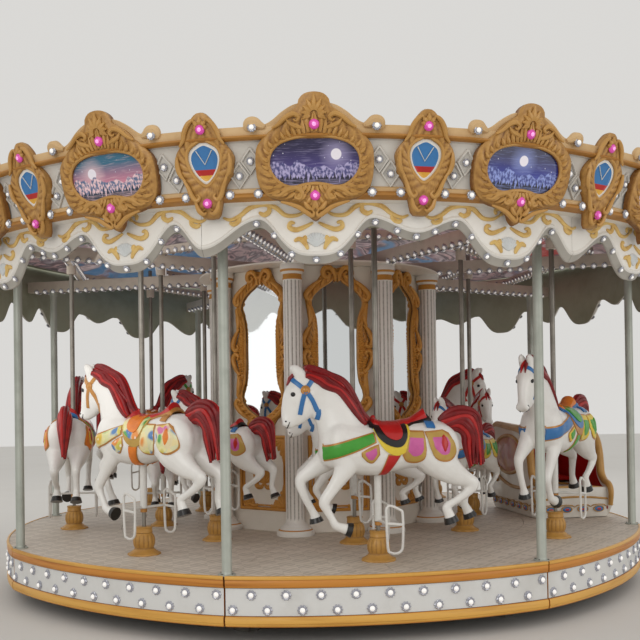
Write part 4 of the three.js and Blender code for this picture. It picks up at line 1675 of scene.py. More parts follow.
@dataclass
class Rim:
    """Deep rim below the deck edge: gold bands, a white band and two rows of lamps."""

    radius: float = 2700.0
    flatness: float = 0.015
    bottom: float = 120.0
    top: float = 424.0
    pitch: float = 211.7
    upper_row: float = 311.0
    lower_row: float = 221.0
    first: float = 50.0

    def reach(self, angle: float) -> float:
        """Radius of the rim at an angle from a panel's middle."""
        return self.radius * (1 - self.flatness * cos(math.radians(4 * angle)))

    def section(self) -> list[tuple[float, float, int]]:
        """Closed outline: distance behind the rim's radius, height and material slot.

        Returns:
            Radius, height and material slot of every point.
        """
        low, top = self.bottom, self.top
        # Slot 2, the lighter gold, makes a painted highlight along the top lip.
        return [
            (-57, low, 0), (-6, low, 0), (-2, low + 6, 2), (-2, low + 18, 2), (2, low + 21, 2),
            (1, low + 52, 2), (-4, low + 60, 0), (-9, low + 64, 3), (-12, low + 66, 1), (-12, 348, 1),
            (-9, 351, 3), (-3, 354, 0), (0, 360, 0), (1, 376, 0), (1, 394, 0), (-2, 399, 0), (2, 403, 2),
            (4, 412, 2), (1, top - 3, 2), (-4, top, 2), (-14.6, top, 2), (-14.6, 379, 4), (-57, 379, 4),
            (-57, low, 4),
        ]

    def build(self) -> None:
        """Builds the eight lengths of rim."""
        end = HALF_PANEL - 0.12
        outline = self.section()
        rows = len(outline) - 1

        def place(s: float, t: float) -> Vector:
            """Point of the section at an angle.

            Args:
                s: share of the first direction.
                t: share of the second direction.

            Returns:
                The point in metres.
            """
            angle = -end + 2 * end * s
            back, height, _ = outline[round(t * rows)]
            return polar((self.reach(angle) + back) * MM, angle, height * MM)

        skin = Bench.skin(
            "rim_skin", 60, rows, place, tint=lambda s, t: outline[int(t * rows)][2], sharp=50, cap=True,
        )
        finishes = (Shop.rim_gold, Shop.rim_white, Shop.rim_light, Shop.seam, Shop.frame_paint)
        Bench.paint(skin, *finishes)
        lamp = Fittings.lamp("rim_lamp")
        places = []
        for row, height in enumerate((self.lower_row, self.upper_row)):
            arc = self.first + row * (self.pitch / 2 + 8)
            length = math.radians(PANEL_ANGLE) * self.radius
            while arc < length - 30:
                angle = -HALF_PANEL + math.degrees(arc / self.radius)
                spot = polar((self.reach(angle) - 12) * MM, angle, height * MM)
                places.append(facing(spot, polar(1, angle), 1.0))
                arc += self.pitch
        length_of_rim = Bench.gather("rim_length", [(skin, [Matrix()]), (lamp, places)])
        for panel in range(PANELS):
            piece = Bench.copy(length_of_rim, f"rim_panel_{panel + 1}", turn_about_axis(panel * PANEL_ANGLE))
            Bench.mount(piece, "platform", "rim_paint", f"rim_{panel + 1}")
        Bench.drop(length_of_rim)


@dataclass
class Posts:
    """Steel posts from the deck edge to the canopy, with foot flanges and collars."""

    circle: float = 2640.0
    radius: float = 31.5
    bottom: float = 420.3
    top: float = 2579.7

    def build(self) -> None:
        """Builds one post and copies it to the eight corners."""
        low, high = self.bottom, self.top
        profile = [
            (0, low), (53, low), (54, low + 1), (54, low + 7), (52, low + 8), (36, low + 9), (33, low + 16),
            (self.radius, low + 24), (self.radius, high - 40), (35, high - 38), (36, high - 34),
            (36, high - 2), (34, high), (0, high),
        ]
        tube = Bench.paint(Bench.turned("post_tube", profile, 28, 35), Shop.steel)
        outline = [(0, low + 7), (6, low + 7), (6, low + 12), (4, low + 14), (0, low + 14)]
        bolt = Bench.turned("post_bolt", outline, 6, 35)
        Bench.paint(bolt, Shop.frame_paint)
        bolts = [Matrix.Translation(polar(44 * MM, 45 + 90 * number)) for number in range(4)]
        post = Bench.gather("post_stock", [(tube, [Matrix()]), (bolt, bolts)])
        for corner in range(PANELS):
            angle = HALF_PANEL + corner * PANEL_ANGLE
            spot = polar(self.circle * MM, angle)
            piece = Bench.copy(post, f"steel_post_{corner + 1}", Matrix.Translation(spot))
            Bench.mount(piece, "platform", "post_steel", f"post_{corner + 1}")
        Bench.drop(post)


@dataclass
class Beams:
    """Radial beams under the roof, with rows of small lamps along their lower edges."""

    bottom: float = 2580.0
    height: float = 100.0
    width: float = 60.0
    start: float = 80.6
    end: float = 2899.0
    pitch: float = 86.0

    def build(self) -> None:
        """Builds the eight radial beams."""
        half = self.width / 2
        bar = Bench.block(
            "beam_bar", (-half, -self.end, self.bottom), (half, -self.start, self.bottom + self.height), 5,
        )
        Bench.paint(bar, Shop.beam)
        lamp = Fittings.lamp("beam_lamp", 8)
        places = []
        along_beam = 1080.0
        while along_beam < self.end - 80:
            for side in (-1, 1):
                spot = Vector((side * (half - 3), -along_beam, self.bottom + 4)) * MM
                places.append(facing(spot, Vector((side, 0, -0.9)), 0.85))
            along_beam += self.pitch
        beam = Bench.gather("beam_stock", [(bar, [Matrix()]), (lamp, places)])
        for corner in range(PANELS):
            turn = turn_about_axis(HALF_PANEL + corner * PANEL_ANGLE)
            piece = Bench.copy(beam, f"lit_beam_{corner + 1}", turn)
            Bench.mount(piece, "platform", "beam_paint", f"radial_beam_{corner + 1}")
        Bench.drop(beam)


@dataclass
class Studio:
    """Camera at the photograph's viewing angle, pale floor and soft light."""

    focal: float = 875.4921
    frame_width: float = 640.0
    axis_height: float = 400.0
    distance: float = 7.8818
    height: float = 1.426
    pitch: float = 0.4909
    roll: float = 0.8305
    yaw: float = 0.0549
    azimuth: float = -9.73
    sensor: float = 36.0

    def camera(self) -> None:
        """Creates the camera and makes it the scene's."""
        data = bpy.data.cameras.new("camera")
        data.sensor_width = self.sensor
        data.lens = self.focal / self.frame_width * self.sensor
        data.shift_y = (self.axis_height - self.frame_width / 2) / self.frame_width
        data.clip_start = 0.05
        camera = bpy.data.objects.new("camera", data)
        bpy.context.scene.collection.objects.link(camera)
        turn = Matrix.Rotation(math.radians(self.yaw), 3, "Z")
        turn = turn @ Matrix.Rotation(math.radians(self.pitch), 3, "X")
        turn = turn @ Matrix.Rotation(math.radians(self.roll), 3, "Y")
        right, ahead, up = turn.col[0], turn.col[1], turn.col[2]
        pose = Matrix((right, up, -ahead)).transposed().to_4x4()
        pose.translation = Vector((0, -self.distance, self.height))
        camera.matrix_world = turn_about_axis(self.azimuth) @ pose
        bpy.context.scene.camera = camera

    def floor(self) -> None:
        """Lays the plain pale floor."""
        Bench.clear()
        bpy.ops.mesh.primitive_plane_add(size=60)
        floor = Bench.name(bpy.context.object, "studio_floor")
        Bench.paint(floor, Finish("floor_paper", "dad8d4", "d2cfca", 0.3, 0.4, 0.8))

    def light(self) -> None:
        """Hangs two soft lights and a pale sky."""
        world = bpy.data.worlds.new("pale_sky")
        bpy.context.scene.world = world
        world.use_nodes = True
        sky = world.node_tree.nodes["Background"]
        sky.inputs["Color"].default_value = (1.0, 0.985, 0.955, 1.0)
        sky.inputs["Strength"].default_value = 0.7
        bpy.context.scene.view_settings.view_transform = "Standard"
        for name, place, size, power in (
                ("key_light", (-5.0, -9.5, 4.8), 5.5, 190.0), ("fill_light", (6.0, -8.5, 3.4), 5.0, 110.0),
                ("rear_light", (2.0, 9.0, 6.0), 6.0, 110.0), ("deck_light", (-1.9, -0.9, 2.5), 2.6, 12.0),
        ):
            lamp = bpy.data.lights.new(name, "AREA")
            lamp.size = size
            lamp.energy = power
            lamp.color = (1.0, 0.985, 0.96)
            light = bpy.data.objects.new(name, lamp)
            bpy.context.scene.collection.objects.link(light)
            light.location = place
            light.visible_camera = False
            aim = Vector((0, 0, 1.6)) - Vector(place)
            light.rotation_euler = aim.to_track_quat("-Z", "Y").to_euler()

    def build(self) -> None:
        """Sets up camera, floor and light."""
        self.camera()
        self.floor()
        self.light()


@dataclass
class Roof:
    """Canvas cover on top and shiny printed cloth below it."""

    eave_radius: float = 3050.0
    eave: float = 2884.0
    peak_radius: float = 34.0
    peak: float = 3552.0
    ceiling_radius: float = 2896.0
    ceiling_edge: float = 2862.0
    ceiling_inner: float = 90.0
    ceiling_peak: float = 3440.0
    sag: float = 24.0
    folds: int = 12

    def cover(self) -> None:
        """Stretches the canvas from the eave to the peak."""
        def place(s: float, t: float) -> Vector:
            """Point of the canvas, which sags between the corners.

            Args:
                s: share of the first direction.
                t: share of the second direction.

            Returns:
                The point in metres.
            """
            angle = 360 * s
            radius = self.eave_radius + (self.peak_radius - self.eave_radius) * t
            height = self.eave + (self.peak - self.eave) * t
            dip = self.sag * abs(sin(math.radians(4 * (angle - HALF_PANEL)))) * sin(pi * t)
            return polar(radius * MM, angle, (height - dip) * MM)

        piece = Bench.skin("roof_canvas", 192, 24, place, sharp=60)
        Bench.modify(piece, "SOLIDIFY", thickness=0.003, offset=1.0)
        Bench.paint(piece, Shop.canvas)
        Bench.mount(piece, "platform", "roof_canvas", "roof_cover")

    def ceiling(self) -> None:
        """Hangs the printed cloth below the canvas, gathered between the beams."""
        def place(s: float, t: float) -> Vector:
            """Point of the cloth with its swags and folds.

            Args:
                s: share of the first direction.
                t: share of the second direction.

            Returns:
                The point in metres.
            """
            angle = 360 * s
            radius = self.ceiling_radius + (self.ceiling_inner - self.ceiling_radius) * t
            height = self.ceiling_edge + (self.ceiling_peak - self.ceiling_edge) * t
            swag = abs(sin(math.radians(4 * (angle - HALF_PANEL))))
            fold = sin(math.radians(self.folds * PANELS * angle)) * swell(2 * t) ** 0.5
            dip = 14 * swag * swell(t * 1.4) + 9 * fold * (1 - t)
            return polar(radius * MM, angle, (height - dip) * MM)

        piece = Bench.skin("printed_ceiling", 384, 24, place, sharp=70)
        Bench.modify(piece, "SOLIDIFY", thickness=0.002, offset=0.0)
        Bench.paint(piece, CeilingPrint("ceiling_print"))
        Bench.mount(piece, "platform", "roof_canvas")

    def build(self) -> None:
        """Makes both cloths."""
        self.cover()
        self.ceiling()


@dataclass(frozen=True)
class CeilingPrint(Surface):
    """Shiny printed cloth: grey and silver clouds with a few fields of red, blue and green; it glows faintly in
    its own colours, as painted light.
    """

    fields: tuple[tuple[tuple[float, float], str, float], ...] = (
        ((0.45, -2.1), "c02a2c", 0.75), ((-1.5, 1.9), "4f86b4", 0.8), ((-2.3, 0.2), "3f7f66", 0.4),
        ((2.2, 0.6), "b5403c", 0.5), ((1.2, 2.0), "5a8db8", 0.6), ((-1.2, -2.0), "4a4448", 0.7),
    )
    bands: tuple[tuple[float, str], ...] = (
        (0.3, "6d7f98"), (0.4, "9d7f88"), (0.46, "d6c2c6"), (0.5, "5a4b53"), (0.55, "c6a6a8"),
        (0.6, "69575f"), (0.68, "ab9fa6"),
    )

    def weave(self, weave: Weave) -> None:
        """Stirred clouds, and the fields over them, each round a spot in metres.

        Args:
            weave: helper for the material's tree.
        """
        # Emission Strength 0.25 makes the cloth glow as painted light, though it is no lamp.
        weave.constants({"Roughness": 0.28, "Specular IOR Level": 0.7, "Emission Strength": 0.25})
        place = weave.place()
        inputs = {"Vector": place, "Scale": 2.2, "Detail": 6, "Distortion": 1.2}
        clouds = weave.node("TexNoise", inputs)
        colour = weave.ramp(clouds.outputs["Fac"], self.bands, "EASE")
        small = weave.node("TexVoronoi", {"Vector": place, "Scale": 9}).outputs["Distance"]
        colour = weave.mix(weave.step(small, 0.3, 0.6, 0.35), colour, "6e666c")
        stir = weave.vector("MULTIPLY_ADD", clouds.outputs["Color"], (2.4, 2.4, 0.0), place)
        flat = weave.vector("MULTIPLY", stir, (1.0, 1.0, 0.0))
        for (x, y), tint, reach in self.fields:
            away = weave.vector("DISTANCE", flat, (x + 1.2, y + 1.2, 0.0))
            colour = weave.mix(weave.step(away, reach, reach * 0.7, 0.85), colour, tint)
        weave.feed("Base Color", colour)
        # The glow takes the print's own colour.
        weave.feed("Emission Color", colour)


@dataclass
class Tower:
    """Eight-sided cream tower with carved mirror frames, lower panels and fluted columns."""

    wall: float = 822.0
    bottom: float = 420.3
    top: float = 2567.4
    beam_bottom: float = 2579.7
    column_circle: float = 967.0
    column_radius: float = 75.0
    mirror_outer: Points = (
        (0, 2546), (52, 2562), (112, 2530), (150, 2460), (205, 2420), (262, 2335), (246, 2200), (232, 2080),
        (262, 1960), (288, 1895), (262, 1830), (232, 1710), (248, 1580), (262, 1455), (205, 1370),
        (150, 1330), (108, 1270), (50, 1238), (0, 1252),
    )
    mirror_hole: Points = (
        (0, 2470), (70, 2420), (140, 2375), (200, 2310), (212, 2240), (176, 2140), (162, 2010), (160, 1895),
        (162, 1780), (176, 1650), (212, 1550), (200, 1480), (140, 1415), (70, 1370), (0, 1320),
    )
    lower_half: float = 254.0
    lower: tuple[float, float] = (585.0, 1206.0)

    def face(self) -> Piece:
        """One wall face with its mirror, frame and lower panel, looking along -Y.

        Returns:
            The wall face.
        """
        half = self.wall * math.tan(math.radians(HALF_PANEL)) - 2
        low, high = (-half, -self.wall, self.bottom), (half, -self.wall + 40, self.top)
        plate = Bench.block("wall_plate", low, high, 3)
        Bench.paint(plate, Shop.cream)
        medal = Medallion("mirror", self.mirror_outer, self.mirror_hole, 1900, 17, Shop.mirror,
                          columns=140, rows=9, foot=self.wall - 6, lean=0.0, metal=Shop.carved)
        curls = [
            ((14, 2440), (22, 2500), (58, 2548), (106, 2538), (114, 2494), (84, 2472), (60, 2494), (78, 2514)),
            ((130, 2450), (176, 2420), (226, 2376), (256, 2330), (240, 2292), (214, 2304), (226, 2328)),
            ((244, 2260), (226, 2200), (222, 2130), (240, 2080)),
            ((214, 2090), (252, 2040), (284, 1960), (262, 1912), (230, 1926), (242, 1958)),
            ((214, 1704), (252, 1750), (284, 1830), (262, 1878), (230, 1864), (242, 1832)),
            ((244, 1530), (226, 1590), (222, 1660), (240, 1710)),
            ((130, 1342), (176, 1370), (226, 1414), (256, 1460), (240, 1498), (214, 1486), (226, 1462)),
            ((22, 1348), (28, 1292), (60, 1250), (106, 1260), (114, 1304), (86, 1326), (62, 1306), (78, 1286)),
        ]
        parts = [plate, medal.frame(), medal.rope(), medal.panel(), medal.scrolls(curls, 0.019),
                 medal.leaves_ring(34, 0.014, 0), self.lower_panel()]
        return Bench.gather("tower_face", Bench.once(*parts))

    def lower_panel(self) -> Piece:
        """Square border with leaf scrolls and a rosette.

        Returns:
            The object.
        """
        low, high = self.lower
        half, middle = self.lower_half, (low + high) / 2
        edge = self.wall + 2
        border = []
        for inset, size in ((16, 1.5), (44, 0.8)):
            x, z0, z1 = half - inset, low + inset, high - inset
            border.append([(x * MM, -edge * MM, z0 * MM, size), (x * MM, -edge * MM, z1 * MM, size),
                           (-x * MM, -edge * MM, z1 * MM, size), (-x * MM, -edge * MM, z0 * MM, size)])
        frame = Bench.paint(Bench.tubes("lower_border", border, 0.014, 2, closed=True), Shop.carved)
        curls = [
            ((214, 272), (150, 262), (96, 274), (66, 262)), ((214, 272), (150, 246), (112, 222)),
            ((214, 272), (172, 224), (152, 184)), ((214, 272), (196, 200), (192, 150)),
            ((214, 272), (206, 176), (214, 120), (204, 90)),
            ((232, 240), (168, 268), (120, 250), (130, 226)),
            ((200, 284), (214, 210), (190, 160), (172, 172)),
        ]
        lines = [(curl, x_side, z_side) for curl in curls for x_side in (1, -1) for z_side in (1, -1)]
        bouquet = [((0, -96), (0, -20), (0, 60), (0, 106)), ((4, -90), (30, -10), (52, 50), (50, 88)),
                   ((6, -86), (50, -30), (84, 20), (92, 54)), ((8, -82), (56, -56), (92, -30), (98, -4)),
                   ((6, -90), (30, -118), (70, -112), (78, -84), (56, -80))]
        lines += [(curl, x_side, 1) for curl in bouquet for x_side in ((1, -1) if curl[1][0] else (1,))]
        paths = []
        for curl, x_side, z_side in lines:
            paths.append(swept(
                curl, 6, lambda x, z: Vector((x_side * x, 3 - edge, middle + z_side * z)) * MM,
                lambda share: 0.6 + 0.9 * swell(share)))
        scrolls = Bench.paint(Bench.tubes("lower_scrolls", paths, 0.0155, 1), Shop.carved)
        return Bench.gather("lower_all", Bench.once(frame, scrolls))

    def column(self) -> Piece:
        """Fluted column with plinth and capital, on the axis.

        Returns:
            The object.
        """
        low, high, r = self.bottom, self.beam_bottom, self.column_radius
        profile = [
            (0, low), (148, low), (150, low + 3), (150, low + 28), (142, low + 34), (138, low + 42),
            (126, low + 50), (118, low + 62), (104, low + 70), (96, low + 78), (95, low + 86),
            (84, low + 92), (r, low + 110), (r, low + 140), (r, high - 150), (r + 3, high - 140),
            (r + 3, high - 128), (r, high - 122), (r, high - 96), (82, high - 90), (92, high - 78),
            (97, high - 60), (97, high - 24), (92, high - 18), (98, high - 12), (98, high), (0, high),
        ]

        def flute(angle: float, t: float) -> float:
            """Flutes of the shaft."""
            inside = 12.4 / 26 < t < 14.2 / 26
            return 1.0 - (0.07 * max(0.0, cos(14 * angle)) if inside else 0.0)

        def relief(s: float, t: float) -> float:
            """Painted shade: dark grooves between the flutes."""
            inside = 12.4 / 26 < t < 14.2 / 26
            return 1.0 - (0.9 * max(0.0, cos(28 * pi * s)) if inside else 0.0)

        def tint(s: float, t: float) -> int:
            """Gold for the rings of plinth and capital."""
            return int(int(t * 26) in (5, 15, 16, 17, 20))

        column = Bench.turned("column_stock", profile, 84, 40, flute, tint, relief)
        return Bench.paint(column, Shop.column, Shop.carved)

    def build(self) -> None:
        """Builds the walls and the columns."""
        faces = [turn_about_axis(panel * PANEL_ANGLE) for panel in range(PANELS)]
        walls = Bench.gather("mirror_walls", [(self.face(), faces)])
        Bench.mount(walls, "platform", "cream_paint", "tower_walls")
        spots = [Matrix.Translation(polar(self.column_circle * MM, HALF_PANEL + panel * PANEL_ANGLE))
                 for panel in range(PANELS)]
        curb_out, curb_in = 1070.0, 780.0

        def place(s: float, t: float) -> Vector:
            """Point of the section at an angle.

            Args:
                s: share of the first direction.
                t: share of the second direction.

            Returns:
                The point in metres.
            """
            radius, height = ((curb_in, 2567.7), (curb_out, 2567.7), (curb_out, self.beam_bottom),
                              (curb_in, self.beam_bottom), (curb_in, 2567.7))[round(t * 4)]
            return polar(radius * MM, 360 * s, height * MM)
        curb = Bench.paint(Bench.skin("curb", 48, 4, place, sharp=30), Shop.cream)
        columns = Bench.gather("fluted_columns", [(self.column(), spots), (curb, [Matrix()])])
        Bench.mount(columns, "platform", "cream_paint", "tower_columns")


class Role(Enum):
    """Parts of a horse that have a colour of their own, in the order of the material slots."""

    BODY = 0
    HOOF = 1
    MANE = 2
    BRIDLE = 3
    GOLD = 4
    BAND = 5
    EDGE = 6
    CLOTH = 7
    FLAP = 8
    TAB = 9
    TAB_MIDDLE = 10
    SEAT = 11
    PAD = 12
    EYE = 13
    STEEL = 14
    FOOTREST = 15
    MANE_LIGHT = 16


@dataclass(frozen=True)
class Livery:
    """Colours of one horse, as finish names in Shop.coats."""

    mane: str = "maroon"
    bridle: str = "blue"
    band: str = "green"
    edge: str = "yellow"
    cloth: str = "black"
    flap: str = "red"
    tab: str = "ochre"
    tab_middle: str = "pink"
    seat: str = "red"
    pad: str = "black"
    mane_light: str = "crimson"


@dataclass
class HorseFigure:
    """Galloping horse figure, made once; forward is +X, left is +Y, heights count from the deck."""

    voxel: float = 0.009
    faces: int = 11000
    trunk: Points = (
        (-536, 780, -530, 720, 15), (-500, 840, -515, 660, 85), (-450, 895, -460, 610, 135),
        (-371, 915, -368, 590, 160), (-250, 905, -232, 598, 168), (-112, 888, -100, 578, 166),
        (8, 890, 8, 556, 166), (120, 905, 120, 560, 164), (230, 930, 220, 580, 150),
        (310, 930, 310, 610, 122), (365, 880, 365, 640, 85), (385, 800, 388, 690, 40),
        (390, 760, 392, 720, 10),
    )
    neck: Points = ((77, 900, 385, 720, 120), (155, 1038, 392, 830, 92), (230, 1140, 404, 900, 74),
                    (310, 1188, 424, 935, 64), (358, 1215, 440, 960, 58), (440, 1240, 500, 1050, 50))
    head: Points = (
        (455, 1235, 400, 1130, 45), (520, 1222, 405, 1060, 60), (575, 1180, 415, 985, 68),
        (612, 1110, 438, 945, 60), (626, 1040, 496, 902, 46), (632, 980, 538, 884, 38),
        (630, 932, 562, 876, 40), (616, 894, 580, 872, 33), (604, 878, 590, 872, 10),
    )
    near_hind: Points = (
        (-330, 740, 95, 150), (-400, 640, 92, 120), (-500, 560, 62, 80), (-590, 515, 40, 50),
        (-628, 490, 34, 42), (-590, 440, 28, 33), (-510, 385, 24, 27), (-440, 345, 25, 28),
        (-455, 300, 31, 34), (-475, 240, 42, 44),
    )
    far_hind: Points = (
        (-330, 740, 95, 150), (-420, 640, 90, 118), (-530, 575, 62, 80), (-610, 530, 42, 52),
        (-640, 495, 34, 42), (-630, 430, 27, 32), (-619, 347, 25, 28), (-640, 300, 30, 33),
        (-662, 250, 40, 42),
    )
    near_fore: Points = (
        (250, 740, 70, 110), (225, 640, 58, 84), (262, 560, 44, 56), (318, 480, 36, 42), (371, 402, 34, 38),
        (356, 350, 27, 30), (325, 295, 23, 26), (298, 246, 27, 29), (250, 228, 31, 34), (196, 212, 40, 42),
    )
    far_fore: Points = (
        (260, 740, 70, 110), (330, 660, 58, 80), (430, 590, 44, 54), (500, 530, 35, 40), (480, 440, 26, 30),
        (426, 329, 24, 27), (410, 300, 30, 32), (396, 252, 40, 42),
    )
    hind_aside: float = 85.0
    fore_aside: float = 80.0

    def loft(self, name: str, sections: Points, rows: int = 5, sides: int = 20,
             fullness: float = 1.0) -> Piece:
        """Skins sections given by a ridge point, an under point and a half width.

        Args:
            name: name of the object.
            sections: ridge point, under point and half width of every section.
            rows: faces between two sections.
            sides: faces round it.
            fullness: below 1 for a fuller section.

        Returns:
            The skin.
        """
        line = curve_through(sections, rows)

        def place(s: float, t: float) -> Vector:
            """Point round a section between its ridge and its under point.

            Args:
                s: share of the first direction.
                t: share of the second direction.

            Returns:
                The point in metres.
            """
            top_u, top_v, low_u, low_v, half = along(line, t)
            angle = 2 * pi * s
            lift = 0.5 + 0.5 * cos(angle)
            side = math.copysign(abs(sin(angle)) ** fullness, sin(angle))
            return Vector((low_u + (top_u - low_u) * lift, max(half, 1) * side,
                           low_v + (top_v - low_v) * lift)) * MM

        return Bench.skin(name, sides, len(line) - 1, place, cap=True)

    def limb(self, name: str, path: Points, aside: float, start: float = 0.0) -> Piece:
        """Skins a leg along its path of forward, height, half width and half depth.

        Args:
            name: name of the object.
            path: forward, height, half width and half depth.
            aside: distance from the middle.
            start: share of the path that is left out.

        Returns:
            The leg.
        """
        line = curve_through(path, 6)
        first = int(start * (len(line) - 1))
        line = line[first:]

        def place(s: float, t: float) -> Vector:
            """Point round the leg, square to its path.

            Args:
                s: share of the first direction.
                t: share of the second direction.

            Returns:
                The point in metres.
            """
            spot = t * (len(line) - 1)
            here = along(line, t)
            before = line[max(int(math.floor(spot - 0.5)), 0)]
            after = line[min(int(math.ceil(spot + 0.5)), len(line) - 1)]
            way = (after - before)[:2]
            way = way / max(np.linalg.norm(way), 1e-6)
            angle = 2 * pi * s
            deep = here[3] * sin(angle)
            across = aside + here[2] * cos(angle)
            return Vector((here[0] - deep * way[1], across, here[1] + deep * way[0])) * MM

        return Bench.skin(name, 14, len(line) - 1, place, cap=True)

    def lump(self, name: str, middle: Sequence[float], reach: Sequence[float]) -> Piece:
        """Makes a rounded muscle.

        Args:
            name: name of the object.
            middle: its middle.
            reach: its three half sizes.

        Returns:
            The muscle.
        """
        Bench.clear()
        bpy.ops.mesh.primitive_uv_sphere_add(segments=20, ring_count=12, radius=1)
        piece = Bench.name(bpy.context.object, name)
        spot = Matrix.Translation(Vector(middle) * MM)
        return Bench.moved(piece, spot @ Matrix.Diagonal(Vector([r * MM for r in reach] + [1])))

    def carve(self) -> Piece:
        """Joins trunk, neck, head, legs and ears into one smooth figure.

        Returns:
            The figure.
        """
        parts = [self.loft("trunk", self.trunk, fullness=0.85), self.loft("neck", self.neck, fullness=0.9),
                 self.loft("head", self.head, fullness=0.85)]
        legs = ((self.near_hind, 1, self.hind_aside), (self.far_hind, -1, self.hind_aside),
                (self.near_fore, 1, self.fore_aside), (self.far_fore, -1, self.fore_aside))
        parts += [self.limb("leg", path, side * aside) for path, side, aside in legs]
        for side in (1, -1):
            parts.append(self.lump("haunch", (-390, side * 72, 740), (150, 98, 155)))
            parts.append(self.lump("shoulder", (255, side * 70, 760), (105, 88, 150)))
            parts.append(self.lump("cheek", (470, side * 38, 1090), (62, 30, 72)))
            parts.append(self.lump("brow", (556, side * 48, 1118), (30, 18, 22)))
            parts.append(self.lump("nostril", (606, side * 32, 908), (24, 16, 26)))
            parts.append(self.loft("ear", ((462, 1206, 530, 1176, 26), (476, 1244, 556, 1216, 27),
                                           (512, 1276, 572, 1250, 20), (548, 1290, 572, 1276, 8)), 4, 12))
            Bench.moved(parts[-1], Matrix.Translation(Vector((0, side * 30 * MM, 0))))
        body = Bench.gather("horse_body", Bench.once(*parts))
        Bench.modify(body, "REMESH", mode="VOXEL", voxel_size=self.voxel)
        Bench.modify(body, "SMOOTH", factor=0.6, iterations=7)
        Bench.modify(body, "DECIMATE", ratio=min(1.0, self.faces / (2 * len(body.data.polygons))))
        return Bench.shade(body, 180)


@dataclass
class Saddlery:
    """Tack laid on the horse's body: patches cast on its flanks and over its back."""

    body: Piece
    tree: BVHTree = field(init=False)

    def __post_init__(self) -> None:
        """Reads the body's surface."""
        mesh = self.body.data
        self.tree = BVHTree.FromPolygons([v.co for v in mesh.vertices], [p.vertices for p in mesh.polygons])

    def flank(self, u: float, v: float, lift: float, side: int = 1) -> Vector:
        """Point on the flank at forward u and height v, raised by a lift.

        Args:
            u: place along the horse.
            v: height above the deck.
            lift: distance over the body.
            side: 1 for the left and -1 for the right.

        Returns:
            The point in metres.
        """
        start = Vector((u * MM, side * 0.6, v * MM))
        hit, normal, _, _ = self.tree.ray_cast(start, Vector((0, -side, 0)))
        if hit is None or side * hit.y < 0:
            hit, normal, _, _ = self.tree.find_nearest(Vector((u * MM, side * 0.02, v * MM)))
        return hit + normal * lift * MM

    def back(self, u: float, y: float, lift: float) -> Vector:
        """Point on the back at forward u and aside y, raised by a lift.

        Args:
            u: place along the horse.
            y: place aside.
            lift: distance over the body.

        Returns:
            The point in metres.
        """
        hit, normal, _, _ = self.tree.ray_cast(Vector((u * MM, y * MM, 1.6)), Vector((0, 0, -1)))
        if hit is None:
            hit, normal, _, _ = self.tree.find_nearest(Vector((u * MM, y * MM, 0.88)))
        return hit + normal * lift * MM

    def patch(self, name: str, upper: Points, lower: Points, lift: float, inset: float = 0.0,
              columns: int = 18, rows: int = 6) -> Piece:
        """Cloth or leather patch between an upper and a lower line, on the left flank.

        Args:
            name: name of the object.
            upper: key points of the upper line.
            lower: key points of the lower line.
            lift: height over the body.
            inset: how far it stays inside both lines.
            columns: faces along.
            rows: faces or steps across.

        Returns:
            The patch.
        """
        top, low = curve_through(upper, 8), curve_through(lower, 8)
        length = float(np.linalg.norm(top[-1] - top[0])) + 1
        width = float(np.linalg.norm(along(top, 0.5) - along(low, 0.5))) + 1
        end, edge = inset / length, inset / width

        def place(s: float, t: float) -> Vector:
            """Point between the two lines, laid on the flank, with a lower rim.

            Args:
                s: share of the first direction.
                t: share of the second direction.

            Returns:
                The point in metres.
            """
            s_in, t_in = end + (1 - 2 * end) * s, edge + (1 - 2 * edge) * t
            upper_spot, lower_spot = along(top, s_in), along(low, s_in)
            u, v = upper_spot + (lower_spot - upper_spot) * t_in
            rim = min(s, 1 - s, t, 1 - t) < 0.02
            return self.flank(u, v, lift - (3.5 if rim else 0.0))

        piece = Bench.skin(name, columns, rows, place, sharp=60)
        Bench.modify(piece, "SOLIDIFY", thickness=(lift + 4) * MM, offset=0.0)
        return piece

    def pair(self, piece: Piece, role: Role) -> Part:
        """Gives a piece its role and a twin on the other flank."""
        Bench.paint(piece, HorseStock.marker(role))
        return piece, [Matrix(), Matrix.Diagonal((1, -1, 1, 1))]


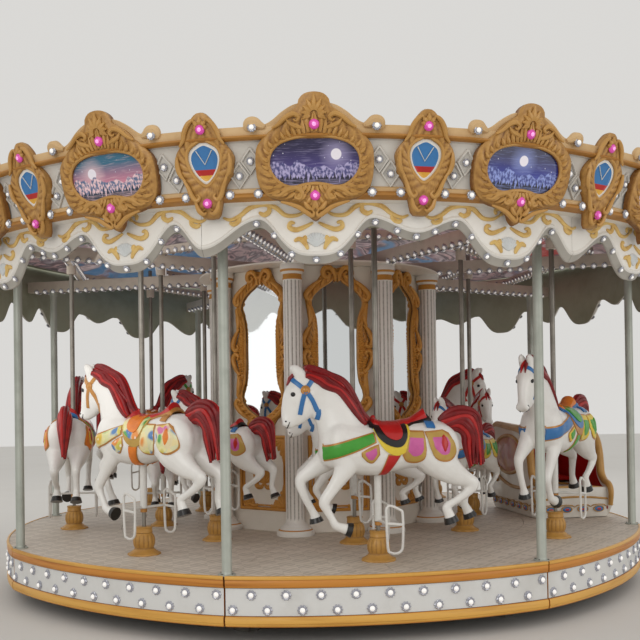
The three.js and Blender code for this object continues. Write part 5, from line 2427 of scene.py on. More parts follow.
@dataclass
class HorseStock:
    """Everything on a horse, made once in marker materials that each livery replaces."""

    figure: HorseFigure = field(default_factory=HorseFigure)

    @staticmethod
    def marker(role: Role) -> bpy.types.Material:
        """Stand-in material of a role."""
        name = "role_" + role.name.lower()
        return bpy.data.materials.get(name) or bpy.data.materials.new(name)

    def hair(self, name: str, strands: Sequence[Points], radius: float, light: int) -> list:
        """Painted strands, some in the lighter tone.

        Args:
            name: name of the object.
            strands: paths of the strands.
            radius: the bar's radius.
            light: every how many strands one is light.

        Returns:
            Each part with its places.
        """
        groups = {Role.MANE: [], Role.MANE_LIGHT: []}
        for number, strand in enumerate(strands):
            groups[Role.MANE_LIGHT if number % light == 1 else Role.MANE].append(strand)
        made = []
        for role, paths in groups.items():
            if paths:
                piece = Bench.tubes(f"{name}_{role.name.lower()}", paths, radius * MM, 2)
                made.append((Bench.paint(piece, self.marker(role)), [Matrix()]))
        return made

    def mane(self, tack: Saddlery) -> list:
        """Strands that flow along the crest of the neck, on both sides.

        Args:
            tack: the horse's surface for laying tack.

        Returns:
            Each part with its places.
        """
        crest = curve_through(((476, 1243), (440, 1240), (358, 1215), (310, 1188), (230, 1140), (155, 1038),
                               (100, 950), (66, 905)), 5)
        strands = []
        for row in range(7):
            for side in (1, -1):
                path = []
                for step, spot in enumerate(crest):
                    share = step / (len(crest) - 1)
                    way = crest[min(step + 1, len(crest) - 1)] - crest[max(step - 1, 0)]
                    way = way / np.linalg.norm(way)
                    out = (32 - 15 * row) * (0.6 + 0.4 * swell(share * 1.2))
                    out += 5 * sin(14 * share + row)
                    u, v = spot[0] + out * way[1], spot[1] - out * way[0]
                    size = 0.3 + 0.95 * swell(0.08 + 0.84 * share) ** 0.6
                    if out > 2:
                        at = Vector((u * MM, side * 0.012, v * MM))
                    else:
                        at = tack.flank(u, v, 3, side)
                    path.append((*at, size))
                strands.append(path)
        forelock = [[(*(Vector((u, side * y, v)) * MM), size) for u, v, y, size in
                     ((478, 1246, 6, 0.7), (530, 1236, 10, 1.0), (572, 1196, 14, 0.9), (590, 1150, 16, 0.3))]
                    for side in (1, -1)]
        return self.hair("mane", strands, 15, 3) + self.hair("forelock", forelock, 13, 3)

    def tail(self) -> list:
        """Strands between the outer and the inner line of the tail.

        Returns:
            Each part with its places.
        """
        outer = curve_through(((-426, 915), (-555, 980), (-655, 968), (-711, 870), (-738, 622)), 6)
        inner = curve_through(((-470, 851), (-560, 850), (-600, 800), (-612, 720), (-628, 595)), 6)
        strands = []
        for row in range(7):
            for side in (1, -1):
                share_out = row / 6
                path = []
                for step in range(len(outer)):
                    t = step / (len(outer) - 1)
                    spot = outer[step] * (1 - share_out) + inner[step] * share_out
                    aside = side * (8 + 20 * sin(pi * share_out)) * (0.4 + sin(pi * t))
                    wave = 8 * sin(9 * t + row * 1.3)
                    size = 0.45 + 0.9 * swell(0.1 + t) ** 0.7
                    path.append((*(Vector((spot[0] + wave, aside, spot[1] + wave)) * MM), size))
                strands.append(path)
        return self.hair("tail", strands, 17, 3)

    def bridle(self, tack: Saddlery) -> list:
        """Straps of the bridle with a gold disc.

        Args:
            tack: the horse's surface for laying tack.

        Returns:
            Each part with its places.
        """
        straps = (((481, 1118), (546, 1173), (562, 1192)), ((481, 1118), (431, 1186), (420, 1214)),
                  ((481, 1118), (502, 1040), (516, 962)), ((481, 1118), (436, 1054), (402, 985)),
                  ((396, 992), (394, 962), (402, 930)))
        made = []
        for number, strap in enumerate(straps):
            line = curve_through(strap, 5)
            edges = []
            for side in (1, -1):
                edge = []
                for step, spot in enumerate(line):
                    way = line[min(step + 1, len(line) - 1)] - line[max(step - 1, 0)]
                    way = way / np.linalg.norm(way)
                    edge.append((spot[0] - side * 14 * way[1], spot[1] + side * 14 * way[0]))
                edges.append(edge)
            piece = tack.patch(f"strap_{number}", edges[0], edges[1], 4, columns=12, rows=2)
            made.append(tack.pair(piece, Role.BRIDLE))
        size = 31
        disc = Bench.turned(
            "disc",
            [(0, -4), (size, -4), (size, 4), (size * 0.8, 8), (size * 0.6, 5), (size * 0.4, 9), (0, 12)], 20,
        )
        seat = facing(tack.flank(481, 1118, 2), Vector((0, 1, 0)))
        made.append(tack.pair(Bench.moved(disc, seat), Role.GOLD))
        return made

    def saddle(self, tack: Saddlery) -> list:
        """Seat, pads, cloths, girth and tabs.

        Args:
            tack: the horse's surface for laying tack.

        Returns:
            Each part with its places.
        """
        layers = (
            ("breast", ((372, 775), (353, 765), (200, 803), (50, 842)),
             ((365, 665), (342, 665), (190, 712), (40, 775)), 12, Role.BAND, Role.GOLD),
            ("tab_front", ((138, 715), (85, 745), (28, 765)), ((135, 690), (100, 655), (62, 648), (22, 700)),
             10, Role.TAB, Role.GOLD),
            ("tab_middle", ((-165, 850), (-275, 845)), ((-130, 690), (-160, 650), (-230, 640), (-275, 665),
             (-285, 720)), 14, Role.TAB, Role.GOLD),
            ("tab_rear", ((-280, 840), (-400, 850)), ((-300, 800), (-330, 690), (-375, 650), (-440, 648),
             (-490, 690), (-485, 750), (-440, 830)), 14, Role.TAB, Role.GOLD),
        )
        made = []
        for name, upper, lower, inset, inner_role, edge_role in layers:
            made.append(tack.pair(tack.patch(name + "_edge", upper, lower, 4), edge_role))
            made.append(tack.pair(tack.patch(name, upper, lower, 7, inset), inner_role))
        for name, upper, lower in (("tab_middle_heart", ((-182, 800), (-262, 796)),
                                    ((-165, 720), (-200, 690), (-250, 700), (-262, 730))),
                                   ("tab_rear_heart", ((-330, 800), (-420, 800)),
                                    ((-345, 730), (-385, 692), (-430, 700), (-440, 760))),
                                   ("tab_front_heart", ((112, 712), (84, 724), (48, 740)),
                                    ((110, 700), (92, 676), (68, 672), (44, 706)))):
            made.append(tack.pair(tack.patch(name, upper, lower, 10, columns=14, rows=5), Role.TAB_MIDDLE))
        leaf = (((-400, 812), (-384, 762), (-402, 712)), ((-400, 812), (-424, 762), (-402, 712)))
        made.append(tack.pair(tack.patch("leaf", *leaf, 13, columns=10, rows=5), Role.FLAP))
        made.append(tack.pair(tack.patch("rear_trim", ((-300, 900), (-352, 896)), ((-302, 862), (-356, 858)),
                                         9, columns=8, rows=4), Role.BRIDLE))
        ridge = ((60, 905), (0, 905), (-90, 900), (-183, 900))
        crescent = ((52, 895), (30, 790), (-20, 720), (-90, 692), (-150, 715), (-178, 780), (-183, 860))
        under = ((58, 910), (40, 830), (0, 778), (-70, 745), (-125, 750), (-160, 800), (-165, 868))
        flap = ((5, 905), (-5, 835), (-50, 792), (-105, 787), (-128, 815), (-124, 870))
        girth_top, girth_low = ((-35, 700), (-120, 700)), ((8, 562), (-42, 562))
        for name, lift, inset, role in (("girth_edge", 4, 0, Role.GOLD), ("girth", 7, 9, Role.FLAP)):
            made.append(tack.pair(tack.patch(name, girth_top, girth_low, lift, inset, columns=10), role))
        made.append(tack.pair(tack.patch("crescent", ridge, crescent, 7), Role.EDGE))
        over = ((52, 905), (0, 905), (-90, 900), (-165, 900))
        made.append(tack.pair(tack.patch("blanket", over, under, 12), Role.CLOTH))
        made.append(
            tack.pair(tack.patch("flap", ((5, 905), (-40, 904), (-90, 902), (-124, 900)), flap, 18), Role.FLAP),
        )
        return made + self.seat(tack)

    def seat(self, tack: Saddlery) -> list:
        """Padded seat with a rising back, and the dark pad below it.

        Args:
            tack: the horse's surface for laying tack.

        Returns:
            Each part with its places.
        """
        def lay(
                name: str, front: float, rear: float, half: float, thick: float, rise: float,
        ) -> Piece:
            """Domed cushion between two places along the back.

            Args:
                name: name of the object.
                front: place of the front end.
                rear: place of the rear end.
                half: half width.
                thick: thickness at the middle.
                rise: extra height at the rear end.

            Returns:
                The cushion.
            """
            def place(s: float, t: float) -> Vector:
                """Point of the cushion over the back.

                Args:
                    s: share of the first direction.
                    t: share of the second direction.

                Returns:
                    The point in metres.
                """
                u = front + (rear - front) * s
                across = (2 * t - 1)
                width = half * (0.55 + 0.45 * swell(s * 1.25 + 0.1))
                hump = (1 - across ** 2) ** 0.5
                lift = thick * (0.25 + 0.75 * hump) + rise * hump * (max(0.0, s - 0.66) / 0.34) ** 1.5
                lift += 0.5 * rise * hump * (max(0.0, 0.2 - s) / 0.2) ** 1.5
                return tack.back(u, across * width, 2 + lift * (1 if 0 < s < 1 else 0.4))

            piece = Bench.skin(name, 28, 14, place, sharp=60)
            Bench.modify(piece, "SOLIDIFY", thickness=0.012, offset=-1.0)
            return piece

        pad = Bench.paint(lay("pad", 74, -352, 134, 12, 36), self.marker(Role.PAD))
        seat = Bench.paint(lay("seat", 52, -330, 112, 26, 62), self.marker(Role.SEAT))
        Bench.clear()
        bpy.ops.mesh.primitive_uv_sphere_add(
            segments=14, ring_count=8, radius=0.017, location=tack.back(30, 0, 44),
        )
        knob = Bench.shade(Bench.name(bpy.context.object, "pommel"))
        bpy.ops.object.transform_apply(location=True, rotation=False, scale=False)
        Bench.paint(knob, self.marker(Role.SEAT))
        return Bench.once(pad, seat, knob)

    def face(self, tack: Saddlery) -> list:
        """Eyes, nostrils and mouth.

        Args:
            tack: the horse's surface for laying tack.

        Returns:
            Each part with its places.
        """
        made = []
        for name, u, v, radius, sink in (("eye", 560, 1092, 17, 6), ("nose_hole", 608, 920, 8, 5)):
            Bench.clear()
            bpy.ops.mesh.primitive_uv_sphere_add(segments=14, ring_count=8, radius=radius * MM)
            ball = Bench.shade(Bench.name(bpy.context.object, name))
            made.append(tack.pair(Bench.moved(ball, Matrix.Translation(tack.flank(u, v, -sink))), Role.EYE))
        mouth = [[(*tack.flank(u, v, 1, side), size) for u, v, size in
                  ((597, 872, 1.0), (592, 892, 0.9), (582, 916, 0.5))] for side in (1, -1)]
        made.append((Bench.paint(Bench.tubes("mouth", mouth, 0.005, 1), self.marker(Role.EYE)), [Matrix()]))
        return made

    def hooves(self) -> list:
        """Dark hooves over the ends of the legs.

        Returns:
            Each part with its places.
        """
        made = []
        legs = ((self.figure.near_hind, 1, self.figure.hind_aside, 0.93),
                (self.figure.far_hind, -1, self.figure.hind_aside, 0.93),
                (self.figure.near_fore, 1, self.figure.fore_aside, 0.935),
                (self.figure.far_fore, -1, self.figure.fore_aside, 0.925))
        for path, side, aside, start in legs:
            wide = [(u, v, w + 3, d + 3) for u, v, w, d in path[:-1]]
            wide.append((*path[-1][:2], path[-1][2] + 7, path[-1][3] + 7))
            piece = self.figure.limb("hoof", wide, side * aside, start)
            made.append((Bench.paint(piece, self.marker(Role.HOOF)), [Matrix()]))
        return made

    def build(self) -> Piece:
        """Makes the figure with its tack, in marker materials.

        Returns:
            The object.
        """
        body = Bench.paint(self.figure.carve(), self.marker(Role.BODY))
        tack = Saddlery(body)
        parts = [*self.mane(tack), *self.tail(), *self.bridle(tack), *self.saddle(tack), *self.face(tack),
                 *self.hooves(), (body, [Matrix()])]
        return Bench.gather("horse_stock", parts)


@dataclass
class Horses:
    """Fifteen horses in two rings, each on its pole with crank rod, bracket and footrests."""

    deck: float = 420.0
    outer_circle: float = OUTER_CIRCLE
    inner_circle: float = INNER_CIRCLE
    inner_scale: float = 0.79
    outer_lifts: tuple[float, ...] = (0, 78, 120, 160, 100, 40, 65)
    outer_angles: tuple[float, ...] = (0, 45, 135, 180, 225, 270, 315)
    inner_lifts: tuple[float, ...] = (97, 60, 140, 30, 180, 110, 20, 150)
    liveries: tuple[Livery, ...] = (
        Livery(),
        Livery("maroon", "blue", "blue", "gold", "blue", "green", "yellow", "green", "orange", "blue"),
        Livery("maroon", "red", "gold", "ochre", "red", "gold", "red", "gold", "red", "gold"),
        Livery("orange", "blue", "green", "yellow", "blue", "red", "green", "yellow", "red", "green", "yellow"),
        Livery("maroon", "green", "red", "yellow", "floral", "orange", "floral", "green", "red", "gold"),
        Livery("crimson", "gold", "blue", "ochre", "green", "red", "orange", "yellow", "red", "blue", "maroon"),
        Livery("maroon", "gold", "floral", "ochre", "floral", "orange", "floral", "floral", "red", "gold"),
    )

    def fixings(self, scale: float) -> Piece:
        """Pole, bracket, crank rod and footrests at the deck's height.

        Args:
            scale: size of the horse against the outer ones.

        Returns:
            The joined fixings.
        """
        belly = self.deck + 560 * scale
        foot = self.deck + 255

        def bar(name: str, radius: float, low: float, high: float, edge: float = 2) -> Piece:
            """Round bar with rounded ends.

            Args:
                name: name of the object.
                radius: the bar's radius.
                low: lowest corner or height.
                high: highest corner or height.
                edge: width of the rounded edge.

            Returns:
                The bar.
            """
            outline = [(0, low), (radius - edge, low), (radius, low + edge), (radius, high - edge),
                       (radius - edge, high), (0, high)]
            return Bench.turned(name, outline, 20, 35)

        pole = Bench.paint(bar("pole", 19, belly - 40, 2780), HorseStock.marker(Role.STEEL))
        sleeve = Bench.paint(bar("sleeve", 24, foot, belly + 40, 3), HorseStock.marker(Role.FOOTREST))
        rod = Bench.paint(bar("rod", 14, 145, foot + 20), HorseStock.marker(Role.STEEL))
        nut = Bench.paint(bar("nut", 24, foot - 26, foot - 2), HorseStock.marker(Role.GOLD))
        top, low = self.deck + 375, self.deck + 70
        front, rear = 4 - 12 * scale, -(110 * scale)
        loops = []
        for side in (1, -1):
            out = side * 190 * scale
            frame = [(front - 26, top), (front - 6, top - 14), (front, top - 42), (front - 8, low + 40),
                     (front - 26, low + 8), ((front + rear) / 2 - 6, low), (rear + 10, low + 14),
                     (rear - 4, low + 60), (rear - 6, top - 60), (rear + 16, top - 26)]
            path = curve_through(frame, 4, closed=True)
            path.append(path[0])
            loops.append([(u * MM, out * MM, v * MM) for u, v in path])
            bar = self.deck + 262
            loops.append([(0, side * 0.02, bar * MM), ((front - 4) * MM, out * MM, bar * MM),
                          ((rear - 4) * MM, out * MM, (bar - 10) * MM)])
        rests = Bench.paint(Bench.tubes("footrests", loops, 0.009, 2), HorseStock.marker(Role.FOOTREST))
        return Bench.gather("fixings", Bench.once(pole, sleeve, rod, nut, rests))

    def dress(self, piece: Piece, livery: Livery) -> None:
        """Replaces the marker materials by a livery's finishes.

        Args:
            piece: the horse.
            livery: colours of the horse.
        """
        coats = {Role.BODY: "ivory", Role.HOOF: "black", Role.MANE: livery.mane, Role.BRIDLE: livery.bridle,
                 Role.GOLD: "gold", Role.BAND: livery.band, Role.EDGE: livery.edge, Role.CLOTH: livery.cloth,
                 Role.FLAP: livery.flap, Role.TAB: livery.tab, Role.TAB_MIDDLE: livery.tab_middle,
                 Role.SEAT: livery.seat, Role.PAD: livery.pad, Role.EYE: "black", Role.STEEL: "steel",
                 Role.FOOTREST: "bracket", Role.MANE_LIGHT: livery.mane_light}
        for role, coat in coats.items():
            name = "role_" + role.name.lower()
            for slot, material in enumerate(piece.data.materials):
                if material.name == name:
                    piece.data.materials[slot] = Shop.coats[coat].build()

    def build(self) -> None:
        """Copies the figure to every place and dresses it."""
        stock = HorseStock().build()
        size = Matrix.Diagonal((self.inner_scale, self.inner_scale, self.inner_scale, 1))
        rings = (
            ("outer", self.outer_circle, self.outer_angles, self.outer_lifts, Matrix(), self.fixings(1.0)),
            ("inner", self.inner_circle, tuple(k * PANEL_ANGLE for k in range(PANELS)), self.inner_lifts,
             size, self.fixings(self.inner_scale)),
        )
        number = 0
        for ring, circle, angles, lifts, scale, fixings in rings:
            for place, (angle, lift) in enumerate(zip(angles, lifts), 1):
                figure = Matrix.Translation(Vector((0, 0, self.deck * MM))) @ scale
                spot = Matrix.Translation(polar(circle * MM, angle, lift * MM)) @ turn_about_axis(angle + 180)
                name = f"{ring}_horse_{place}"
                piece = Bench.gather("carved_" + name, [(stock, [figure]), (fixings, [Matrix()])], keep=True)
                Bench.moved(piece, spot)
                self.dress(piece, self.liveries[number % len(self.liveries)])
                Bench.mount(piece, name, "horse_shell", name)
                number += 1
            Bench.drop(fixings)
        Bench.drop(stock)


@dataclass
class Deck:
    """Tread-plate deck with fine joints and a fluted pot below every horse."""

    top: float = 420.0
    bottom: float = 380.0
    plate: float = 6.0
    joint: float = 3.0
    split: float = 1760.0
    inner: float = 86.0
    tower: float = 800.0
    edge_gap: float = 15.6
    sectors: int = 16
    outer_circle: float = OUTER_CIRCLE
    inner_circle: float = INNER_CIRCLE
    rim: Rim = field(default_factory=Rim)

    def edge(self, angle: float) -> float:
        """Radius of the deck at an angle from the middle of the first panel."""
        from_middle = (angle + HALF_PANEL) % PANEL_ANGLE - HALF_PANEL
        return self.rim.reach(from_middle) - self.edge_gap

    def base(self) -> Piece:
        """Dark under-plate that shows in the joints.

        Returns:
            The plate.
        """
        low, high = self.bottom, self.top - self.plate + 1

        def place(s: float, t: float) -> Vector:
            """Point round the plate from its inner to its outer edge.

            Args:
                s: share of the first direction.
                t: share of the second direction.

            Returns:
                The point in metres.
            """
            angle = 360 * s
            edge = self.edge(angle)
            radius, height = ((self.inner, low), (edge, low), (edge, high), (self.inner, high),
                              (self.inner, low))[round(t * 4)]
            return polar(radius * MM, angle, height * MM)

        return Bench.paint(Bench.skin("deck_base", 128, 4, place, sharp=30), Shop.seam)

    def tread(self, start: float, near: float, far: Optional[float]) -> Piece:
        """One plate from an angle and between two radii, or to the deck's edge.

        Args:
            start: angle where it starts.
            near: inner radius.
            far: outer radius, or nothing for the deck's edge.

        Returns:
            The plate.
        """
        width = 360 / self.sectors
        low, high = self.top - self.plate, self.top

        def place(s: float, t: float) -> Vector:
            """Point round the plate, with small edges at its top.

            Args:
                s: share of the first direction.
                t: share of the second direction.

            Returns:
                The point in metres.
            """
            gap = math.degrees(self.joint / 2 / ((near + (far or 2660)) / 2))
            angle = start + gap + (width - 2 * gap) * s
            end = far or self.edge(angle)
            outline = ((near, low), (near, high - 1), (near + 1, high), (end - 1, high), (end, high - 1),
                       (end, low), (near, low))
            radius, height = outline[round(t * 6)]
            return polar(radius * MM, angle, height * MM)

        return Bench.paint(Bench.skin("tread", 8, 6, place, sharp=30, cap=True), Shop.tread)

    def pot(self) -> Piece:
        """Fluted vase on a scalloped foot, with a dark bore for the crank rod.

        Returns:
            The pot.
        """
        z = self.top
        profile = [
            (0, z - 4), (110, z - 4), (116, z + 4), (113, z + 12), (101, z + 18), (86, z + 26),
            (74, z + 36), (67, z + 45), (66, z + 50), (70, z + 58), (75, z + 76), (76, z + 96),
            (74, z + 116), (66, z + 136), (58, z + 147), (56, z + 151), (59, z + 154), (59, z + 158),
            (57, z + 162), (57, z + 184), (60, z + 187), (60, z + 193), (56, z + 195), (17, z + 195),
            (15.5, z + 150), (0, z + 150),
        ]

        def flute(angle: float, t: float) -> float:
            """Scallops of the foot and flutes of the belly.

            Args:
                angle: angle in radians.
                t: share of the second direction.

            Returns:
                Factor on the radius.
            """
            row = t * 25
            if 1 <= row <= 6:
                return 1.0 - 0.09 * (1 - row / 7) * abs(sin(5 * angle)) ** 3
            return 1.0 - (0.05 * (0.5 - 0.5 * cos(14 * angle)) ** 3 if 8.5 <= row <= 13.5 else 0.0)

        def relief(s: float, t: float) -> float:
            """Painted shade: dark grooves, and darker bands at the narrow necks.

            Args:
                s: share of the first direction.
                t: share of the second direction.

            Returns:
                The relief.
            """
            row = t * 25
            groove = (0.5 - 0.5 * cos(28 * pi * s)) ** 3 if 8.5 <= row <= 14 else 0.0
            return (0.5 if 6.5 < row < 8.5 or 14.5 < row < 16 else 0.95) - 0.5 * groove

        pot = Bench.turned("pot_stock", profile, 96, 40, flute, lambda s, t: int(t * 25 > 23), relief)
        return Bench.paint(pot, Shop.pot, Shop.seam)

    def build(self) -> None:
        """Lays the plates and sets the pots."""
        parts = [(self.base(), [Matrix()])]
        width = 360 / self.sectors
        for sector in range(self.sectors):
            for near, far in ((self.tower, self.split), (self.split + self.joint, None)):
                parts.append((self.tread(sector * width, near, far), [Matrix()]))
        spots = []
        for panel in range(PANELS):
            for circle in (self.outer_circle, self.inner_circle):
                if (circle, panel) != (self.outer_circle, 2):
                    spots.append(Matrix.Translation(polar(circle * MM, panel * PANEL_ANGLE)))
        parts.append((self.pot(), spots))
        Bench.mount(Bench.gather("tread_deck", parts), "platform", "tread_plate", "deck")


@dataclass
class RingBeams:
    """Two eight-sided ring beams with bushings for the poles and rows of small lamps."""

    bottom: float = 2680.3
    height: float = 60.0
    half_width: float = 30.0
    guide_radius: float = 40.0
    guide: tuple[float, float] = (2600.0, 2765.0)
    pitch: float = 78.0

    def ring(self, name: str, node: str, circle: float, angles: Sequence[float]) -> None:
        """Builds one ring at a circle, with bushings at the angles.

        Args:
            name: name of the object.
            node: CAD node that it stands for.
            circle: distance of its sides from the axis.
            angles: angles of the bushings.
        """
        stretch = 1 / cos(math.radians(HALF_PANEL))
        low, high, half = self.bottom, self.bottom + self.height, self.half_width
        outline = ((-half, low + 4), (-half + 4, low), (half - 4, low), (half, low + 4), (half, high - 4),
                   (half - 4, high), (-half + 4, high), (-half, high - 4), (-half, low + 4))

        def place(s: float, t: float) -> Vector:
            """Point of an eight-sided bar."""
            across, height = outline[round(t * 8)]
            return polar((circle + across) * stretch * MM, HALF_PANEL + 360 * s, height * MM)

        bar = Bench.paint(Bench.skin(name + "_bar", PANELS, 8, place, sharp=20), Shop.beam)
        low, high = self.guide
        r = self.guide_radius
        sleeve = Bench.turned("guide", [(19.6, low), (r - 3, low), (r, low + 3), (r, high - 3),
                                        (r - 3, high), (19.6, high), (19.6, low)], 24, 35)
        Bench.paint(sleeve, Shop.beam)
        guides = [Matrix.Translation(polar(circle * MM, angle)) for angle in angles]
        lamp = Fittings.lamp("ring_lamp", 8)
        places = []
        reach = circle * math.tan(math.radians(HALF_PANEL))
        count = int(2 * reach / self.pitch)
        for panel in range(PANELS):
            turn = turn_about_axis(panel * PANEL_ANGLE)
            for number in range(count):
                across = -reach + (number + 0.5) * 2 * reach / count
                for side in (-1, 1):
                    depth = circle - side * half
                    spot = turn @ (Vector((across, -depth, self.bottom + 12)) * MM)
                    places.append(facing(spot, turn.to_3x3() @ Vector((0, side, -0.4)), 0.78))
        piece = Bench.gather(name, [(bar, [Matrix()]), (sleeve, guides), (lamp, places)])
        Bench.mount(piece, "platform", "beam_paint", node)

    def build(self) -> None:
        """Builds both rings."""
        every = [panel * PANEL_ANGLE for panel in range(PANELS)]
        self.ring("outer_lit_ring", "outer_ring_beam", OUTER_CIRCLE, [a for a in every if a != 90])
        self.ring("inner_lit_ring", "inner_ring_beam", INNER_CIRCLE, every)


@dataclass
class Chariot:
    """Boat-shaped chariot: white hull, gold scroll edges, dark red wings and quilted seats."""

    circle: float = OUTER_CIRCLE
    angle: float = 90.0
    deck: float = 420.3
    side: float = 330.0
    thick: float = 40.0
    outline: Points = (
        (-470, 2), (0, 2), (470, 2), (556, 110), (570, 230), (530, 290), (456, 316), (396, 376), (374, 470),
        (356, 570), (312, 668), (232, 742), (112, 780), (-60, 794), (-240, 806), (-430, 816), (-520, 780),
        (-566, 660), (-572, 500), (-566, 340), (-560, 180), (-530, 60),
    )
    wing: tuple[float, float, float, float] = (-110.0, 540.0, 340.0, 176.0)

    def at(self, piece: Piece) -> Part:
        """Keeps a piece where it is."""
        return piece, [Matrix()]

    @staticmethod
    def sheet_of(name: str, line: Points, y: float) -> Piece:
        """Flat face inside an outline of forward and height, at one side.

        Args:
            name: name of the object.
            line: forward and height of every point.
            y: place across.

        Returns:
            The face.
        """
        Bench.clear()
        bpy.ops.mesh.primitive_circle_add(vertices=len(line), radius=1, fill_type="NGON")
        face = Bench.name(bpy.context.object, name)
        for vert, spot in zip(face.data.vertices, line):
            vert.co = Vector((spot[0], y, spot[1])) * MM
        return face

    def shell(self, y: float) -> Piece:
        """Side board with rounded edges, standing at one side.

        Args:
            y: place across.

        Returns:
            The board.
        """
        line = [self.outline[0], *curve_through(self.outline[2:], 5)]
        half = self.thick / 2
        board = self.sheet_of("side_board", line, y - half)
        Bench.modify(board, "SOLIDIFY", thickness=self.thick * MM, offset=1.0)
        low = min(v.co.y for v in board.data.vertices)
        Bench.moved(board, Matrix.Translation(Vector((0, (y - half) * MM - low, 0))))
        Bench.weld(board)
        Bench.modify(board, "BEVEL", width=0.008, segments=2, limit_method="ANGLE")
        return Bench.paint(Bench.shade(board, 35), Shop.hull)

    def lining(self, y: float) -> Piece:
        """Dark red upholstery over the inner face of a side board.

        Args:
            y: place across.

        Returns:
            The lining.
        """
        line = curve_through(((-515, 60), (470, 60), (512, 130), (518, 220), (470, 262), (412, 290), (354, 360),
                              (332, 470), (316, 556), (276, 640), (206, 702), (100, 738), (-60, 754),
                              (-240, 766), (-430, 778), (-500, 744), (-530, 640), (-534, 480), (-528, 300)), 4)
        board = self.sheet_of("lining", line, y - math.copysign(self.thick / 2 + 3, y))
        Bench.modify(board, "SOLIDIFY", thickness=0.008, offset=0.0)
        Bench.weld(board)
        Bench.modify(board, "BEVEL", width=0.003, segments=2, limit_method="ANGLE")
        return Bench.paint(Bench.shade(board, 35), Shop.velvet)

    def edging(self, y: float) -> Piece:
        """Gold scroll edge along the top of a side board, with curls at both ends.

        Args:
            y: place across.

        Returns:
            The edge.
        """
        top = curve_through(self.outline[3:19], 6)
        front = curve_through(
            ((556, 110), (520, 130), (470, 180), (470, 240), (520, 262), (556, 232), (540, 200)), 5,
        )
        rear = curve_through(((-572, 500), (-566, 380), (-520, 300), (-440, 290), (-400, 340), (-430, 384),
                              (-470, 366), (-462, 336)), 5)
        sweep = curve_through(((440, 296), (330, 258), (150, 244), (-60, 250), (-260, 290), (-380, 330),
                               (-414, 296), (-388, 270), (-360, 286)), 5)
        u, v, wide, tall = self.wing
        turns = [2 * pi * k / 40 for k in range(41)]
        oval = [(u + wide * cos(a), v + tall * sin(a)) for a in turns]
        outward = math.copysign(1, y)
        paths = []
        for line, size, out in (
                (top, 1.9, 0), (front, 1.0, 16), (rear, 1.0, 16), (sweep, 0.9, 20), (oval, 0.9, 18),
        ):
            path = []
            for step, (u, v) in enumerate(line):
                full = 1.0 if line is oval else 0.55 + 0.45 * swell(step / (len(line) - 1))
                path.append((u * MM, (y + outward * out) * MM, v * MM, size * full))
            paths.append(path)
        return Bench.paint(Bench.tubes("edging", paths, 0.02, 3), Shop.gold)

    def wings(self, y: float) -> Piece:
        """Domed oval panel on the outer face of a side board.

        Args:
            y: place across.

        Returns:
            The panel.
        """
        u, v, wide, tall = self.wing

        def place(s: float, t: float) -> Vector:
            """Point of the domed oval.

            Args:
                s: share of the first direction.
                t: share of the second direction.

            Returns:
                The point in metres.
            """
            angle = 2 * pi * s
            out = math.copysign(self.thick / 2 - 2 + 16 * math.sqrt(max(0.0, 1 - t * t)), y)
            return Vector((u + wide * t * cos(angle), y + out, v + tall * t * sin(angle))) * MM

        return Bench.paint(Bench.skin("wing", 40, 6, place, sharp=60), Shop.rose)

    def cabochons(self) -> list[Part]:
        """Blue ovals in gold rings with small swags, round the lower hull.

        Returns:
            Each part with its places.
        """
        profile = [(0, -4), (44, -4), (44, 2), (36, 9), (20, 13), (0, 15)]
        gem = Bench.turned("cabochon", profile, 20, 60, None, lambda s, t: int(t > 0.8))
        Bench.paint(gem, Shop.blue, Shop.red)
        ring = [[(46 * MM * cos(a), 46 * MM * sin(a), 4 * MM) for a in
                 (2 * pi * k / 24 for k in range(24))]]
        ring_piece = Bench.paint(Bench.tubes("ring", ring, 0.007, 1, closed=True), Shop.gold)
        swag = [[(-74 * MM, 34 * MM, 3 * MM, 0.5), (-50 * MM, 62 * MM, 4 * MM, 1.1), (0, 72 * MM, 4 * MM, 0.8),
                 (50 * MM, 62 * MM, 4 * MM, 1.1), (74 * MM, 34 * MM, 3 * MM, 0.5)]]
        swag_piece = Bench.paint(Bench.tubes("swag", swag, 0.008, 1), Shop.gold)
        flat = Matrix.Diagonal((1.0, 0.55, 1.0, 1.0))
        places = []
        for sign in (1, -1):
            y = sign * (self.side + self.thick / 2)
            for u in range(-450, 451, 150):
                places.append(facing(Vector((u, y, 78)) * MM, Vector((0, sign, 0))) @ flat)
        for y in (-225, -75, 75, 225):
            places.append(facing(Vector((541, y, 78)) * MM, Vector((1, 0, 0))) @ flat)
            places.append(facing(Vector((-541, y, 78)) * MM, Vector((-1, 0, 0))) @ flat)
        return [(gem, places), (ring_piece, places), (swag_piece, places)]

    def boards(self) -> list[Part]:
        """Floor, prow, rear board and seat box between the sides.

        Returns:
            Each part with its places.
        """
        wide = self.side - self.thick / 2 + 2
        made = []
        for name, low, high, finish in (
            ("floor", (-480, -wide, 0), (500, wide, 40), Shop.frame_paint),
            ("prow", (490, -wide, 4), (538, wide, 266), Shop.hull),
            ("rear", (-540, -wide, 60), (-500, wide, 756), Shop.hull),
            ("seat_box", (-520, -wide, 4), (-156, wide, 252), Shop.hull),
        ):
            board = Bench.block(name, low, high, 9, 3)
            made.append(self.at(Bench.paint(board, finish)))
        edge = []
        for height, u, size in (
                (262, 514, 1.0), (180, 540, 0.5), (758, -516, 2.3), (600, -541, 0.5), (248, -158, 0.6),
        ):
            edge.append([(u * MM, y * MM, (height + 22 * cos(pi * y / (2 * wide)) - 16) * MM, size)
                         for y in np.linspace(-wide, wide, 13)])
        made.append(self.at(Bench.paint(Bench.tubes("board_edges", edge, 0.018, 2), Shop.gold)))
        return made

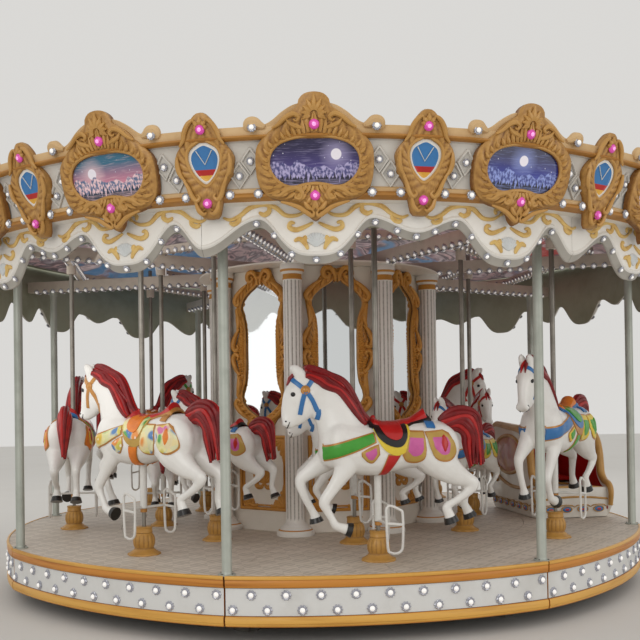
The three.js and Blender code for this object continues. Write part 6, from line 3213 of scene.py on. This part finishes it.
    def cushion(
            self, name: str, low: Sequence[float], high: Sequence[float], upright: bool,
    ) -> Piece:
        """Cushion with buttoned diamond tufts.

        Args:
            name: name of the object.
            low: lowest corner or height.
            high: highest corner or height.
            upright: whether it is a back and not a seat.

        Returns:
            The cushion.
        """
        size = [b - a for a, b in zip(low, high)]
        middle = [(a + b) / 2 for a, b in zip(low, high)]
        Bench.clear()
        bpy.ops.mesh.primitive_cube_add(size=1, location=[m * MM for m in middle])
        piece = Bench.name(bpy.context.object, name)
        bpy.ops.object.mode_set(mode="EDIT")
        bpy.ops.mesh.select_all(action="SELECT")
        bpy.ops.transform.resize(value=[s * MM for s in size])
        bpy.ops.mesh.subdivide(number_cuts=39)
        bpy.ops.object.mode_set(mode="OBJECT")
        bpy.ops.object.transform_apply(location=True, rotation=False, scale=False)
        thin = 0 if upright else 2
        for vert in piece.data.vertices:
            share = [(vert.co[k] / MM - middle[k]) / (size[k] / 2) for k in range(3)]
            long_way = 2 if upright else 0
            rise, fall = (pi * (2.5 * share[1] + side * 2.0 * share[long_way]) for side in (1, -1))
            channel = math.sqrt(abs(cos(rise) * cos(fall)))
            edge = (1 - share[1] ** 8) * (1 - share[long_way] ** 6)
            full = 0.45 + 0.55 * channel * edge
            vert.co[thin] = (middle[thin] + share[thin] * size[thin] / 2 * full) * MM
            for axis in (1, long_way):
                pull = 1 - 0.035 * share[thin] ** 2
                vert.co[axis] = (middle[axis] + (vert.co[axis] / MM - middle[axis]) * pull) * MM
        Bench.modify(piece, "SMOOTH", factor=0.5, iterations=2)
        return Bench.paint(Bench.shade(piece, 180), Shop.quilt)

    def build(self) -> None:
        """Builds hull and cushions and stands them at their place."""
        spot = Matrix.Translation(polar(self.circle * MM, self.angle, self.deck * MM))
        spot = spot @ turn_about_axis(self.angle + 180)
        parts = self.boards() + self.cabochons()
        for y in (self.side, -self.side):
            parts += [self.at(self.shell(y)), self.at(self.edging(y)), self.at(self.wings(y))]
            parts.append(self.at(self.lining(y)))
        hull = Bench.moved(Bench.gather("chariot_hull", parts), spot)
        Bench.mount(hull, "platform", "chariot_shell", "chariot")
        wide = self.side - self.thick / 2 - 14
        for name, low, high, upright in (
            ("seat_cushion", (-500, -wide, 254), (-152, wide, 330), False),
            ("back_cushion", (-500, -wide, 318), (-430, wide, 690), True),
        ):
            piece = Bench.moved(self.cushion(name, low, high, upright), spot)
            Bench.mount(piece, "platform", "chariot_shell")


class Machine:
    """Base frame, pedestal, deck frame and mast, which keep their CAD shape."""

    finishes = {"base_frame": Shop.frame_paint, "pedestal": Shop.frame_paint,
                "deck_frame": Shop.under_steel, "mast": Shop.beam}

    @classmethod
    def build(cls) -> None:
        """Gives each of the four its painted steel."""
        for node, finish in cls.finishes.items():
            Bench.paint(bpy.data.objects[node], finish)


def main() -> None:
    """Builds every sub-assembly in order."""
    logging.basicConfig(level=logging.INFO, format="%(name)s: %(message)s")
    Studio().build()
    Crown().build()
    Rim().build()
    Posts().build()
    Beams().build()
    RingBeams().build()
    Deck().build()
    Chariot().build()
    Machine.build()
    Roof().build()
    Tower().build()
    Horses().build()


if __name__ == "__main__":
    main()
